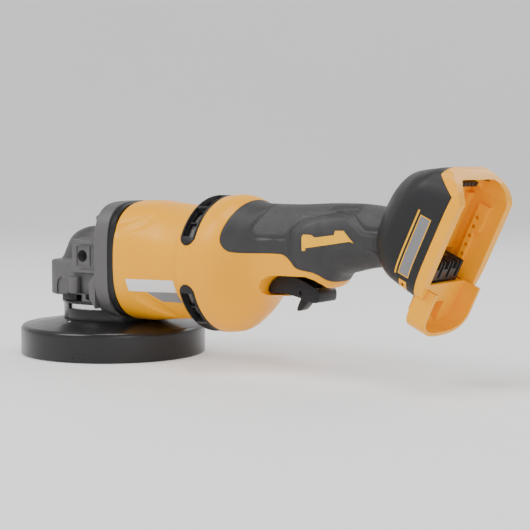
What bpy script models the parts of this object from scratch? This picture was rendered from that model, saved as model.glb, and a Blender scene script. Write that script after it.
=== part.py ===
"""Cordless angle grinder with a paddle switch, built as separate solids.

Frame: +Z up, +X from the gear head towards the battery foot, origin at the centre of the spindle's
end face. Lengths in this script are millimetres; MM turns them into metres when a mesh is made.
"""

import math

import bmesh
import bpy
from mathutils import Matrix, Vector

MM = 0.001
GAP = 0.3

# Gear head and spindle
MOTOR_Z = 69.0
RIM_Z = -3.0
GUARD_RADIUS = 70.0
GUARD_WALL = 2.0
GUARD_SKIRT_TOP = 19.0
GUARD_START = -170.0
GUARD_SWEEP = 240.0
COLLAR_INNER = 35.9
COLLAR_OUTER = 37.4
COLLAR_LIP = 38.7
COLLAR_Z = (20.6, 37.9)
SPINDLE_THREAD_R = 7.0
FLANGE_X = (17.0, 31.0)
FLANGE_HALF = (41.5, 43.6)
CASE_SCREW_SPOTS = ((-31.0, 100.0), (31.0, 100.0), (-34.0, 42.0), (34.0, 42.0))
BOSS_FACE_Y = 32.3
BOSS_X = (-12.8, 21.7)
BOSS_Z = (58.5, 84.0)
SIDE_SOCKET = (-2.7, 71.5)
SIDE_SOCKET_R = 4.5

# Bevel gear pair: both cones meet at the point (0, 0, MOTOR_Z)
PINION_TEETH = 7
CROWN_TEETH = 24
GEAR_MEAN = 19.0
GEAR_SLOPE = PINION_TEETH / CROWN_TEETH
TOOTH_MODULE = 2 * GEAR_MEAN * GEAR_SLOPE / PINION_TEETH
ADDENDUM = 0.62 * TOOTH_MODULE
DEDENDUM = 1.0 * TOOTH_MODULE
TIP_HALF = 0.26 * TOOTH_MODULE
ROOT_HALF = 0.78 * TOOTH_MODULE

# Spindle lock
LOCK_XY = (8.5, 9.5)
LOCK_PIN_R = 2.5

# Motor
BARREL_X = (37.0, 101.0)
BARREL_BORE = 38.6
SHAFT_R = 5.0
VENT_X = (101.3, 114.7)
VENT_R = (43.6, 49.0)

# Handle: x, top, bottom and half width of each cross-section, then the roundness of its upper
# and lower halves (2 is an ellipse, more is squarer)
REAR_SECTIONS = (
    (115.3, 118.0, 20.0, 49.0, 2.0, 2.0),
    (124.0, 118.8, 21.2, 48.8, 2.0, 2.0),
    (131.0, 117.6, 26.0, 46.5, 2.0, 2.0),
    (136.0, 115.4, 30.4, 43.5, 2.0, 2.0),
    (141.0, 113.6, 36.0, 39.0, 2.0, 2.0),
    (146.0, 113.0, 42.5, 33.8, 2.1, 2.2),
    (151.0, 112.8, 46.8, 29.8, 2.2, 2.4),
    (158.0, 112.7, 48.2, 27.0, 2.3, 2.8),
    (166.0, 112.7, 49.0, 25.5, 2.3, 3.1),
    (178.0, 112.9, 51.6, 25.0, 2.3, 3.4),
    (190.0, 113.5, 54.0, 24.3, 2.3, 3.6),
    (199.0, 114.0, 55.4, 23.0, 2.3, 3.4),
    (204.0, 114.1, 57.4, 21.6, 2.3, 3.0),
    (207.5, 114.2, 61.5, 20.9, 2.3, 2.8),
    (212.0, 114.2, 65.8, 20.8, 2.3, 2.6),
    (220.0, 114.2, 68.2, 21.0, 2.3, 2.5),
    (231.0, 113.6, 70.8, 21.2, 2.3, 2.5),
    (245.0, 112.0, 72.8, 22.2, 2.3, 2.4),
    (262.0, 110.0, 74.0, 23.0, 2.3, 2.4),
)
SHELL_WALL = 3.0
HANDLE_END_N = 201.0

# Outline of the rubber grip in side view (x, z)
GRIP_OUTLINE = (
    (133.0, 90.0),
    (136.5, 83.0),
    (142.0, 79.2),
    (172.0, 79.9),
    (177.0, 78.8),
    (181.4, 74.6),
    (185.2, 69.6),
    (196.9, 68.2),
    (201.6, 66.0),
    (205.6, 61.8),
    (209.5, 59.6),
    (212.0, 50.0),
    (280.0, 50.0),
    (280.0, 130.0),
    (139.0, 130.0),
    (135.0, 106.0),
)

# Paddle switch
PADDLE_PIVOT = (162.3, 56.8)
PADDLE_HALF = 11.0
PADDLE_WALL = 1.6
PADDLE_ARM_INNER = 6.4
PADDLE_OUTLINE = (
    (153.6, 52.8),
    (154.0, 55.2),
    (155.8, 58.2),
    (159.4, 61.2),
    (165.0, 63.4),
    (172.0, 63.6),
    (178.0, 62.2),
    (184.0, 60.0),
    (190.0, 57.2),
    (195.6, 54.6),
    (195.6, 48.8),
    (194.6, 46.6),
    (191.6, 45.9),
    (184.0, 47.6),
    (177.6, 49.6),
    (166.0, 51.7),
    (156.3, 51.3),
    (154.6, 51.7),
)
PADDLE_HOLLOW = (
    (168.5, 80.0),
    (168.5, 55.0),
    (176.0, 53.4),
    (184.0, 50.4),
    (192.8, 49.4),
    (192.8, 80.0),
)
# Side view (x, z) of the recess under the handle that the paddle sits in, open on both sides
PADDLE_RECESS = (
    (152.6, 52.3),
    (153.4, 56.0),
    (156.8, 60.8),
    (162.5, 63.9),
    (170.0, 64.8),
    (192.0, 64.8),
    (198.0, 62.6),
    (201.5, 59.5),
    (202.5, 55.0),
    (202.5, 36.0),
    (167.4, 36.0),
    (166.8, 50.4),
    (158.0, 49.9),
    (154.0, 50.1),
)
RECESS_ROOF = 2.4
# Side view (x, z) of the lug inside each half of the housing that holds the paddle's pin
PADDLE_LUG = (
    (158.4, 66.2),
    (158.4, 56.2),
    (160.0, 53.4),
    (163.0, 52.4),
    (165.6, 54.2),
    (166.6, 57.0),
    (166.6, 66.2),
)
LOCK_OFF_PIVOT = (180.7, 52.5)
LOCK_OFF_HALF = 4.5
LOCK_OFF_OUTLINE = (
    (178.2, 54.4),
    (177.4, 50.2),
    (174.6, 45.2),
    (172.6, 40.2),
    (173.4, 38.9),
    (176.2, 39.4),
    (180.2, 43.6),
    (182.8, 47.6),
    (183.6, 51.2),
    (183.2, 54.6),
    (180.8, 55.8),
)

# Battery foot: local axis N leaves the foot backwards and down, local axis U runs up along it
FOOT_TILT = math.radians(25.0)
FOOT_HALF = 38.4
COVER_SECTIONS = (
    (178.5, 228.0, 190.0, 14.0, 2.2),
    (181.0, 234.0, 184.0, 21.0, 2.5),
    (186.0, 240.5, 179.0, 28.0, 2.8),
    (192.0, 244.5, 176.5, 33.5, 3.2),
    (199.0, 248.5, 174.0, 37.4, 3.8),
    (207.0, 252.8, 172.2, 38.4, 4.4),
    (228.0, 256.5, 170.0, 38.4, 4.6),
)
COVER_WALL = 2.6
RIM_N = 235.3
TUB_SECTIONS = (
    (204.6, 246.8, 177.4, 34.6, 4.0),
    (210.5, 249.7, 175.4, 35.2, 4.4),
    (229.3, 253.3, 173.3, 35.2, 4.6),
)
# Side view (n, u) of the edge between the black cover and the receiver's yellow top corner
CAP_EDGE = ((228.0, 242.2), (213.0, 250.8))
# Side view (n, u) of the rounded top corner of the foot
TOP_CORNER = ((235.5, 238.8), (234.0, 242.2), (230.6, 246.6), (226.0, 250.4), (219.9, 253.6), (212.8, 256.2))
CAVITY_HALF = 30.6
CAVITY_N = (207.4, 260.0)
CAVITY_U = (179.4, 242.6)
UPPER_CAVITY_N = (214.6, 260.0)
UPPER_CAVITY_U = (225.0, 251.8)
POCKET_HALF = 30.3
POCKET_WALL = 2.6
POCKET_N = (228.4, 242.0)
POCKET_U = (149.0, 181.0)
POCKET_SIDE_U = 164.0
# Side view (n, u) of the block under the pocket, outside and inside
UNDER_BLOCK = (
    (219.5, 169.6),
    (219.5, 158.5),
    (223.0, 153.0),
    (228.0, 149.6),
    (231.0, 149.6),
    (231.0, 169.6),
)
UNDER_BLOCK_HOLLOW = (
    (222.0, 167.4),
    (222.0, 159.3),
    (224.6, 155.3),
    (229.0, 152.2),
    (240.0, 152.2),
    (240.0, 167.4),
)
UNDER_BLOCK_HALF = 13.0
TERMINAL_Y = (-16.5, -5.5, 5.5, 16.5)

PARTS = bpy.data.collections.new("angle_grinder")
CUTTERS = bpy.data.collections.new("angle_grinder_cutters")


# ---------------------------------------------------------------- scene and materials


def clear_scene():
    for obj in list(bpy.data.objects):
        bpy.data.objects.remove(obj, do_unlink=True)
    bpy.context.scene.collection.children.link(PARTS)
    bpy.context.scene.collection.children.link(CUTTERS)
    CUTTERS.hide_render = True


def principled(name, colour, roughness, metallic=0.0):
    material = bpy.data.materials.get(name)
    if material:
        return material
    material = bpy.data.materials.new(name)
    material.use_nodes = True
    shader = material.node_tree.nodes["Principled BSDF"]
    shader.inputs["Base Color"].default_value = (*colour, 1.0)
    shader.inputs["Roughness"].default_value = roughness
    shader.inputs["Metallic"].default_value = metallic
    return material


LOOKS = {
    "yellow": ((0.90, 0.47, 0.02), 0.38, 0.0),
    "rubber": ((0.035, 0.035, 0.038), 0.72, 0.0),
    "black": ((0.025, 0.025, 0.027), 0.42, 0.0),
    "guard_black": ((0.012, 0.012, 0.013), 0.28, 0.4),
    "cast_grey": ((0.13, 0.125, 0.125), 0.5, 0.85),
    "aluminium": ((0.62, 0.62, 0.63), 0.32, 1.0),
    "steel": ((0.42, 0.42, 0.43), 0.35, 1.0),
    "dark_steel": ((0.16, 0.16, 0.17), 0.4, 1.0),
    "copper": ((0.62, 0.30, 0.16), 0.4, 1.0),
    "brass": ((0.66, 0.50, 0.20), 0.35, 1.0),
    "label_grey": ((0.28, 0.28, 0.29), 0.45, 0.0),
    "board_green": ((0.03, 0.16, 0.07), 0.5, 0.0),
}


# ---------------------------------------------------------------- bmesh shapes, in millimetres


def box_mesh(low, high):
    bm = bmesh.new()
    bmesh.ops.create_cube(bm, size=1.0)
    low, high = Vector(low), Vector(high)
    size = high - low
    bmesh.ops.scale(bm, vec=size, verts=bm.verts)
    bmesh.ops.translate(bm, vec=(low + high) / 2, verts=bm.verts)
    return bm


def bevelled_box_mesh(low, high, radius, segments=2):
    bm = box_mesh(low, high)
    bmesh.ops.bevel(bm, geom=bm.edges[:], offset=radius, segments=segments, affect="EDGES", profile=0.5)
    return bm


def rod_mesh(start, end, radius, end_radius=None, segments=24):
    start, end = Vector(start), Vector(end)
    bm = bmesh.new()
    length = (end - start).length
    bmesh.ops.create_cone(
        bm,
        cap_ends=True,
        segments=segments,
        radius1=radius,
        radius2=radius if end_radius is None else end_radius,
        depth=length,
    )
    turn = Vector((0, 0, 1)).rotation_difference(end - start).to_matrix().to_4x4()
    bmesh.ops.transform(bm, matrix=Matrix.Translation((start + end) / 2) @ turn, verts=bm.verts)
    return bm


def turned_mesh(profile, axis="Z", centre=(0, 0, 0), segments=48, start=0.0, sweep=360.0, closed=True):
    """Turns a profile of (radius, height) points about an axis; a part turn keeps its end faces."""
    bm = bmesh.new()
    verts = [bm.verts.new((r, 0, h)) for r, h in profile]
    whole = sweep >= 360.0
    if whole:
        pairs = list(zip(verts, verts[1:] + verts[:1] if closed else verts[1:]))
        geometry = verts + [bm.edges.new(pair) for pair in pairs]
    else:
        face = bm.faces.new(verts)
        geometry = verts + list(face.edges) + [face]
    bmesh.ops.rotate(bm, matrix=Matrix.Rotation(math.radians(start), 3, "Z"), verts=bm.verts)
    bmesh.ops.spin(
        bm,
        geom=geometry,
        cent=(0, 0, 0),
        axis=(0, 0, 1),
        angle=math.radians(sweep),
        steps=segments,
    )
    bmesh.ops.remove_doubles(bm, verts=bm.verts, dist=1e-4)
    if axis == "X":
        # The profile's height runs along +X and its start angle is measured from +Y towards +Z
        turn = Matrix(((0, 0, 1), (1, 0, 0), (0, 1, 0))).to_4x4()
        bmesh.ops.transform(bm, matrix=turn, verts=bm.verts)
    bmesh.ops.translate(bm, vec=centre, verts=bm.verts)
    return bm


def prism_mesh(outline, plane, low, high):
    """Extrudes a flat outline: plane XZ along Y, XY along Z, YZ along X."""
    place = {
        "XZ": lambda a, b: (a, low, b),
        "XY": lambda a, b: (a, b, low),
        "YZ": lambda a, b: (low, a, b),
    }[plane]
    along = {"XZ": (0, 1, 0), "XY": (0, 0, 1), "YZ": (1, 0, 0)}[plane]
    bm = bmesh.new()
    face = bm.faces.new([bm.verts.new(place(a, b)) for a, b in outline])
    made = bmesh.ops.extrude_face_region(bm, geom=[face])
    moved = [item for item in made["geom"] if isinstance(item, bmesh.types.BMVert)]
    bmesh.ops.translate(bm, vec=Vector(along) * (high - low), verts=moved)
    return bm


def grid_mesh(rings, wrap):
    """Skins rings of equal length; wrap closes the last ring onto the first, else both ends are capped."""
    bm = bmesh.new()
    rows = [[bm.verts.new(point) for point in ring] for ring in rings]
    count = len(rows[0])
    pairs = list(zip(rows, rows[1:] + rows[:1] if wrap else rows[1:]))
    for row, other in pairs:
        for i in range(count):
            j = (i + 1) % count
            bm.faces.new((row[i], row[j], other[j], other[i]))
    if not wrap:
        bm.faces.new(rows[0])
        bm.faces.new(rows[-1])
    return bm


def superellipse(half_a, half_b, power, count, low_power=None):
    """Points round a rounded box; low_power gives the lower half its own roundness."""
    points = []
    for i in range(count):
        angle = 2 * math.pi * (i + 0.5) / count
        c, s = math.cos(angle), math.sin(angle)
        here = low_power if low_power and s < 0 else power
        a = math.copysign(abs(c) ** (2 / here), c) * half_a
        b = math.copysign(abs(s) ** (2 / here), s) * half_b
        points.append((a, b))
    return points


def offset_outline(outline, distance):
    """Moves each corner of a flat outline inwards for a positive distance."""
    area = sum(a[0] * b[1] - b[0] * a[1] for a, b in zip(outline, outline[1:] + outline[:1]))
    side = 1.0 if area > 0 else -1.0
    moved = []
    for i, here in enumerate(outline):
        before = Vector(outline[i - 1])
        after = Vector(outline[(i + 1) % len(outline)])
        here = Vector(here)
        first = (here - before).normalized()
        second = (after - here).normalized()
        normal = Vector((-first.y - second.y, first.x + second.x)).normalized()
        spread = max(0.5, normal.dot(Vector((-first.y, first.x))))
        moved.append(tuple(here + normal * side * distance / spread))
    return moved


def foot_point(n, y, u):
    c, s = math.cos(FOOT_TILT), math.sin(FOOT_TILT)
    return Vector((n * c + u * s, y, u * c - n * s + RIM_Z))


def foot_box_mesh(n, y, u, bevel=0.0):
    """A box along the foot's own axes, from ranges of n, y and u."""
    low, high = (n[0], y[0], u[0]), (n[1], y[1], u[1])
    bm = bevelled_box_mesh(low, high, bevel) if bevel else box_mesh(low, high)
    for vert in bm.verts:
        vert.co = foot_point(*vert.co)
    return bm


def helix_mesh(centre, radius, wire, bottom, top, turns, sides=4, per_turn=9):
    """A coil spring whose wire ends are capped."""
    rings = []
    steps = int(turns * per_turn)
    for i in range(steps + 1):
        angle = 2 * math.pi * i / per_turn
        z = bottom + wire + (top - bottom - 2 * wire) * i / steps
        out = Vector((math.cos(angle), math.sin(angle), 0))
        middle = Vector(centre).to_3d() + out * radius
        middle.z = z
        ring = []
        for k in range(sides):
            turn = 2 * math.pi * k / sides
            ring.append(middle + out * wire * math.cos(turn) + Vector((0, 0, wire * math.sin(turn))))
        rings.append(ring)
    return grid_mesh(rings, wrap=False)


# ---------------------------------------------------------------- objects


def put(name, bm, look, origin=(0, 0, 0), collection=PARTS):
    """Makes the object from a millimetre bmesh, with its own origin where it turns or slides."""
    bmesh.ops.translate(bm, vec=-Vector(origin), verts=bm.verts)
    bmesh.ops.scale(bm, vec=(MM, MM, MM), verts=bm.verts)
    bmesh.ops.recalc_face_normals(bm, faces=bm.faces)
    mesh = bpy.data.meshes.new(name)
    bm.to_mesh(mesh)
    bm.free()
    if look:
        mesh.materials.append(principled(look, *LOOKS[look]))
    mesh.shade_smooth()
    mesh.set_sharp_from_angle(angle=math.radians(35))
    obj = bpy.data.objects.new(name, mesh)
    obj.location = Vector(origin) * MM
    collection.objects.link(obj)
    return obj


def hidden(name, bm):
    other = put(name, bm, None, collection=CUTTERS)
    other.hide_render = True
    other.display_type = "WIRE"
    return other


def helper(owner, shape, operation):
    """Adds a Boolean with a hidden object, which is given or is made from a bmesh."""
    tag = f"{owner.name}_{operation.lower()}_{len(owner.modifiers)}"
    other = shape if isinstance(shape, bpy.types.Object) else hidden(tag, shape)
    step = owner.modifiers.new(tag, "BOOLEAN")
    step.operation = operation
    step.solver = "EXACT"
    step.object = other
    return owner


def cut(owner, *meshes):
    for bm in meshes:
        helper(owner, bm, "DIFFERENCE")
    return owner


def join(owner, *meshes):
    for bm in meshes:
        helper(owner, bm, "UNION")
    return owner


def keep(owner, bm):
    return helper(owner, bm, "INTERSECT")


def side_name(sign):
    return "right" if sign > 0 else "left"


def half_space(sign, reach=400.0):
    """The half of space on one side of the tool's middle plane, less half a gap."""
    inner = sign * GAP / 2
    low, high = sorted((inner, sign * reach))
    return box_mesh((-reach, low, -reach), (reach, high, reach))


# ---------------------------------------------------------------- gear head


def head_outline(front, half, power, back=20.0, count=12):
    """Plan outline of the gear head: a rounded nose, then straight sides to the back."""
    centre = -6.0
    points = [(back, half), (6.0, half)]
    for i in range(count + 1):
        angle = math.radians(90 + 180 * i / count)
        c, s = math.cos(angle), math.sin(angle)
        x = centre - abs(c) ** (2 / power) * (centre - front)
        y = math.copysign(abs(s) ** (2 / power), s) * half
        points.append((x, y))
    points += [(6.0, -half), (back, -half)]
    return points


def gear_case():
    tiers = (
        (41.0, -41.2, 28.8, 6.5),
        (42.0, -42.0, 29.6, 7.0),
        (66.4, -42.0, 29.6, 7.0),
        (67.4, -41.2, 28.8, 6.5),
        (68.6, -39.0, 28.0, 3.0),
        (74.0, -37.5, 27.2, 2.4),
        (78.0, -35.8, 26.4, 2.3),
        (86.0, -34.0, 25.0, 2.2),
        (90.0, -26.0, 22.0, 2.1),
        (93.0, -14.0, 18.5, 2.0),
    )
    rings = [[(x, y, z) for x, y in head_outline(front, half, power)] for z, front, half, power in tiers]
    case = put("gear_case", grid_mesh(rings, wrap=False), "cast_grey")
    flange = []
    for x, inset in ((FLANGE_X[0], 1.5), (FLANGE_X[0] + 1.5, 0.0), (FLANGE_X[1], 0.0)):
        outline = superellipse(FLANGE_HALF[0] - inset, FLANGE_HALF[1] - inset, 3.7, 28)
        flange.append([(x, y, MOTOR_Z + z) for y, z in outline])
    join(case, grid_mesh(flange, wrap=False))
    join(case, rod_mesh((0, 0, 38.3), (0, 0, 43.5), 36.8, segments=32))
    for sign in (-1, 1):
        low, high = sorted((sign * 20.0, sign * BOSS_FACE_Y))
        join(case, bevelled_box_mesh((BOSS_X[0], low, BOSS_Z[0]), (BOSS_X[1], high, BOSS_Z[1]), 1.0))
    join(case, rod_mesh(guard_lever_spot(43.3), guard_lever_spot(56.0), 4.6, segments=20))
    cut(
        case,
        collar_clearance_mesh(),
        box_mesh((FLANGE_X[1], -60.0, 0.0), (60.0, 60.0, 130.0)),
        rod_mesh((0, 0, 30.0), (0, 0, 67.5), 25.5, segments=28),
        rod_mesh((0, 0, 60.0), (0, 0, 81.5), 8.9, segments=24),
        rod_mesh((11.5, 0, MOTOR_Z), (40.0, 0, MOTOR_Z), 9.6, segments=28),
        rod_mesh((24.6, 0, MOTOR_Z), (40.0, 0, MOTOR_Z), 13.4, segments=32),
    )
    lock_x, lock_y = LOCK_XY
    cut(
        case,
        rod_mesh((lock_x, lock_y, 60.0), (lock_x, lock_y, 110.0), LOCK_PIN_R + 0.4, segments=12),
        rod_mesh((lock_x, lock_y, 80.0), (lock_x, lock_y, 110.0), 5.3, segments=16),
        rod_mesh((lock_x, lock_y, 87.2), (lock_x, lock_y, 110.0), 7.5, segments=20),
    )
    for sign in (-1, 1):
        socket_x, socket_z = SIDE_SOCKET
        face = sign * (BOSS_FACE_Y + 2.0)
        floor = sign * (BOSS_FACE_Y - 1.0)
        for x in ((-7.5, 3.4), (5.6, 20.6)):
            low, high = sorted((floor, face))
            cut(case, box_mesh((x[0], low, 64.0), (x[1], high, 79.0)))
        socket_end = (socket_x, sign * 17.0, socket_z)
        cut(case, rod_mesh((socket_x, face, socket_z), socket_end, SIDE_SOCKET_R, segments=12))
        cut(case, rod_mesh((14.6, face, socket_z), (14.6, sign * 24.0, socket_z), 2.4, segments=10))
    for y, z in CASE_SCREW_SPOTS:
        cut(case, rod_mesh((10.0, y, z), (40.0, y, z), 1.9, segments=8))
        cut(case, rod_mesh((5.0, y, z), (16.9, y, z), 3.3, segments=12))
    for x, y in retainer_screw_spots():
        cut(case, rod_mesh((x, y, 30.0), (x, y, 47.0), 2.1, segments=8))
    cut(
        case,
        rod_mesh(guard_lever_spot(30.0), guard_lever_spot(52.0), 1.9, segments=10),
        rod_mesh(guard_lever_spot(30.0), guard_lever_spot(43.2), 6.8, segments=24),
        box_mesh((-22.0, -60.0, 30.0), (2.0, -32.6, 43.2)),
    )
    return case


def collar_clearance_mesh():
    """The space that the guard's collar turns in, cut out of what reaches down beside it."""
    profile = [(0.0, 10.0), (COLLAR_OUTER + 0.6, 10.0), (COLLAR_OUTER + 0.6, 34.0)]
    profile += [(COLLAR_LIP + 0.6, 34.2), (COLLAR_LIP + 0.6, COLLAR_Z[1] + 0.4), (0.0, COLLAR_Z[1] + 0.4)]
    return turned_mesh(profile, segments=40, closed=False)


def retainer_screw_spots():
    angles = (45, 135, 225, 315)
    return [(30.6 * math.cos(math.radians(a)), 30.6 * math.sin(math.radians(a))) for a in angles]


def guard_lever_spot(z):
    return (-10.0, -31.5, z)


def spindle_retainer():
    profile = [(12.4, 24.6), (35.5, 24.6), (35.5, 38.0), (17.0, 38.0), (17.0, 26.7), (12.4, 26.7)]
    retainer = put("spindle_retainer", turned_mesh(profile, segments=36), "aluminium")
    for x, y in retainer_screw_spots():
        cut(retainer, rod_mesh((x, y, 20.0), (x, y, 40.0), 2.1, segments=6))
        cut(retainer, rod_mesh((x, y, 20.0), (x, y, 28.4), 3.7, segments=8))
    for index, (x, y) in enumerate(retainer_screw_spots(), 1):
        screw = put(f"retainer_screw_{index}", rod_mesh((x, y, 25.2), (x, y, 28.1), 3.3, segments=8), "steel")
        join(screw, rod_mesh((x, y, 27.0), (x, y, 45.5), 1.6, segments=6))


def gasket_and_case_screws():
    half_y, half_z = FLANGE_HALF
    outer = superellipse(half_y - 0.5, half_z - 0.4, 3.4, 28)
    inner = superellipse(BARREL_BORE, BARREL_BORE, 2.0, 28)
    front, back = FLANGE_X[1] + GAP, BARREL_X[0] - GAP
    rings = [
        [(x, y, MOTOR_Z + z) for y, z in ring]
        for x, ring in ((front, outer), (back, outer), (back, inner), (front, inner))
    ]
    gasket = put("case_gasket", grid_mesh(rings, wrap=True), "black")
    cut(gasket, collar_clearance_mesh())
    for index, (y, z) in enumerate(CASE_SCREW_SPOTS, 1):
        cut(gasket, rod_mesh((20.0, y, z), (45.0, y, z), 1.9, segments=8))
        head = rod_mesh((13.6, y, z), (16.7, y, z), 2.9, segments=10)
        screw = put(f"case_screw_{index}", head, "dark_steel")
        join(screw, rod_mesh((15.0, y, z), (50.0, y, z), 1.5, segments=8))


def bearing(name, inner, outer, start, end, axis):
    profile = [
        (inner, start),
        (outer, start),
        (outer, end),
        (inner, end),
    ]
    centre = (0, 0, 0) if axis == "Z" else (0, 0, MOTOR_Z)
    return put(name, turned_mesh(profile, axis=axis, centre=centre, segments=24), "steel")


# ---------------------------------------------------------------- spindle and gears


def tooth_angles(teeth, radius, shift):
    """Root, tip, tip, root angles of every tooth at one reference radius."""
    angles = []
    for tooth in range(teeth):
        middle = 2 * math.pi * (tooth + shift) / teeth
        for half in (-ROOT_HALF, -TIP_HALF, TIP_HALF, ROOT_HALF):
            angles.append(middle + half / radius)
    return angles


def crown_gear():
    angles = tooth_angles(CROWN_TEETH, GEAR_MEAN, 0.5)
    heights = [-DEDENDUM, ADDENDUM, ADDENDUM, -DEDENDUM] * CROWN_TEETH
    inner, outer = 16.6, 21.8

    def flat(radius, z):
        return [(radius * math.cos(a), radius * math.sin(a), z) for a in angles]

    def toothed(radius):
        pitch_z = MOTOR_Z - radius * GEAR_SLOPE
        return [
            (radius * math.cos(a), radius * math.sin(a), pitch_z + h * radius / GEAR_MEAN)
            for a, h in zip(angles, heights)
        ]

    rings = [flat(8.3, 52.0), flat(outer, 53.0), toothed(outer), toothed(inner), flat(8.3, 61.5)]
    gear = put("crown_gear", grid_mesh(rings, wrap=True), "steel")
    lock_r = math.hypot(*LOCK_XY)
    lock_angle = math.atan2(LOCK_XY[1], LOCK_XY[0])
    for quarter in range(4):
        angle = lock_angle + quarter * math.pi / 2
        x, y = lock_r * math.cos(angle), lock_r * math.sin(angle)
        cut(gear, rod_mesh((x, y, 50.0), (x, y, 70.0), LOCK_PIN_R + 0.6, segments=10))


def drive_pinion():
    angles = tooth_angles(PINION_TEETH, GEAR_MEAN * GEAR_SLOPE, -0.25 * PINION_TEETH)
    heights = [-DEDENDUM, ADDENDUM, ADDENDUM, -DEDENDUM] * PINION_TEETH

    def ring(x, scale=1.0):
        points = []
        for a, h in zip(angles, heights):
            radius = (x * GEAR_SLOPE + h * x / GEAR_MEAN) * scale
            points.append((x, radius * math.cos(a), MOTOR_Z + radius * math.sin(a)))
        return points

    pinion = put("drive_pinion", grid_mesh([ring(16.6), ring(21.8)], wrap=False), "steel", (21.8, 0, MOTOR_Z))
    join(pinion, rod_mesh((20.5, 0, MOTOR_Z), (24.4, 0, MOTOR_Z), 4.4, segments=20))


def spindle_group():
    profile = [
        (0.0, 0.0),
        (6.2, 0.0),
        (SPINDLE_THREAD_R, 0.9),
        (SPINDLE_THREAD_R, 17.3),
        (11.0, 17.3),
        (11.0, 26.4),
        (8.0, 27.0),
        (8.0, 38.2),
        (9.6, 38.4),
        (9.6, 51.7),
        (8.0, 51.7),
        (8.0, 62.4),
        (5.0, 63.0),
        (5.0, 79.5),
        (0.0, 80.0),
    ]
    put("spindle", turned_mesh(profile, segments=20, closed=False), "steel")
    flange = [(7.3, 12.0), (20.0, 12.0), (20.0, 14.2), (14.0, 17.0), (7.3, 17.0)]
    put("inner_flange", turned_mesh(flange, segments=28), "dark_steel")
    nut = put(
        "lock_nut",
        turned_mesh([(7.3, 4.6), (12.0, 4.6), (19.0, 8.0), (19.0, 11.7), (7.3, 11.7)], segments=24),
        "dark_steel",
    )
    for quarter in range(4):
        angle = math.radians(45 + 90 * quarter)
        x, y = 14.6 * math.cos(angle), 14.6 * math.sin(angle)
        cut(nut, rod_mesh((x, y, 0.0), (x, y, 8.6), 2.0, segments=6))


# ---------------------------------------------------------------- guard and its release lever


def guard():
    outer, inner = GUARD_RADIUS, GUARD_RADIUS - GUARD_WALL
    top = GUARD_SKIRT_TOP
    profile = [
        (inner - 1.2, RIM_Z),
        (outer - 0.6, RIM_Z),
        (outer, RIM_Z + 0.8),
        (outer, top - 3.0),
        (outer - 0.9, top - 0.9),
        (outer - 3.4, top + 0.4),
        (COLLAR_OUTER + 0.4, COLLAR_Z[0] + 3.1),
        (COLLAR_OUTER + 0.4, COLLAR_Z[0] + 1.2),
        (outer - 4.0, top - 1.6),
        (inner, top - 4.0),
        (inner, RIM_Z + 2.0),
        (inner - 1.2, RIM_Z + 1.2),
    ]
    shell = turned_mesh(profile, start=GUARD_START, sweep=GUARD_SWEEP, segments=36)
    put("guard_shell", shell, "guard_black")
    collar = put(
        "guard_collar",
        turned_mesh(
            [
                (COLLAR_INNER, COLLAR_Z[0]),
                (COLLAR_OUTER, COLLAR_Z[0]),
                (COLLAR_OUTER, 34.6),
                (COLLAR_LIP, 34.8),
                (COLLAR_LIP, COLLAR_Z[1]),
                (COLLAR_INNER, COLLAR_Z[1]),
            ],
            segments=36,
        ),
        "guard_black",
    )
    window = [(30.0, 29.8), (45.0, 29.8), (45.0, 33.8), (30.0, 33.8)]
    cut(collar, turned_mesh(window, start=-125.0, sweep=80.0, segments=8))


def guard_lever():
    spot = guard_lever_spot(0.0)
    foot = [
        (-19.5, -33.2),
        (-18.6, -36.6),
        (-12.5, -38.8),
        (-6.0, -39.0),
        (-3.6, -36.8),
        (-4.2, -33.0),
        (-5.0, -28.8),
        (-10.0, -26.2),
        (-15.0, -28.6),
        (-15.6, -32.8),
    ]
    lever = put("guard_lever", prism_mesh(foot, "XY", 38.6, 42.8), "black", spot)
    join(lever, rod_mesh(guard_lever_spot(40.0), guard_lever_spot(51.0), 1.6, segments=14))


def spindle_lock():
    x, y = LOCK_XY
    cap = rod_mesh((x, y, 92.5), (x, y, 99.6), 7.0, 6.2, segments=20)
    button = put("spindle_lock_button", cap, "black", (x, y, 92.5))
    cut(button, rod_mesh((x, y, 90.0), (x, y, 96.0), LOCK_PIN_R + GAP, segments=12))
    pin = rod_mesh((x, y, 65.0), (x, y, 95.7), LOCK_PIN_R, segments=12)
    put("spindle_lock_pin", pin, "steel", (x, y, 65.0))
    put("spindle_lock_spring", helix_mesh((x, y), 3.9, 0.5, 80.3, 92.2, 4), "steel", (x, y, 80.3))


# ---------------------------------------------------------------- motor


def motor_housing():
    sections = (
        (BARREL_X[0], 41.6, 43.2, 2.7),
        (39.5, 43.2, 44.3, 2.65),
        (50.0, 43.2, 44.2, 2.45),
        (65.0, 42.4, 42.8, 2.2),
        (80.0, 41.6, 41.7, 2.0),
        (94.0, 41.6, 41.6, 2.0),
        (98.5, 42.8, 42.8, 2.0),
        (BARREL_X[1], 45.0, 45.0, 2.0),
    )
    rings = [
        [(x, y, MOTOR_Z + z) for y, z in superellipse(a, b, power, 28)] for x, a, b, power in sections
    ]
    bore = [
        [(x, y, MOTOR_Z + z) for y, z in superellipse(BARREL_BORE, BARREL_BORE, 2.0, 28)]
        for x in (BARREL_X[1], BARREL_X[0])
    ]
    housing = put("motor_housing", grid_mesh(rings + bore, wrap=True), "yellow")
    cut(housing, collar_clearance_mesh())
    for y, z in CASE_SCREW_SPOTS:
        cut(housing, rod_mesh((30.0, y, z), (51.0, y, z), 1.9, segments=8))
    return housing


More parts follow.
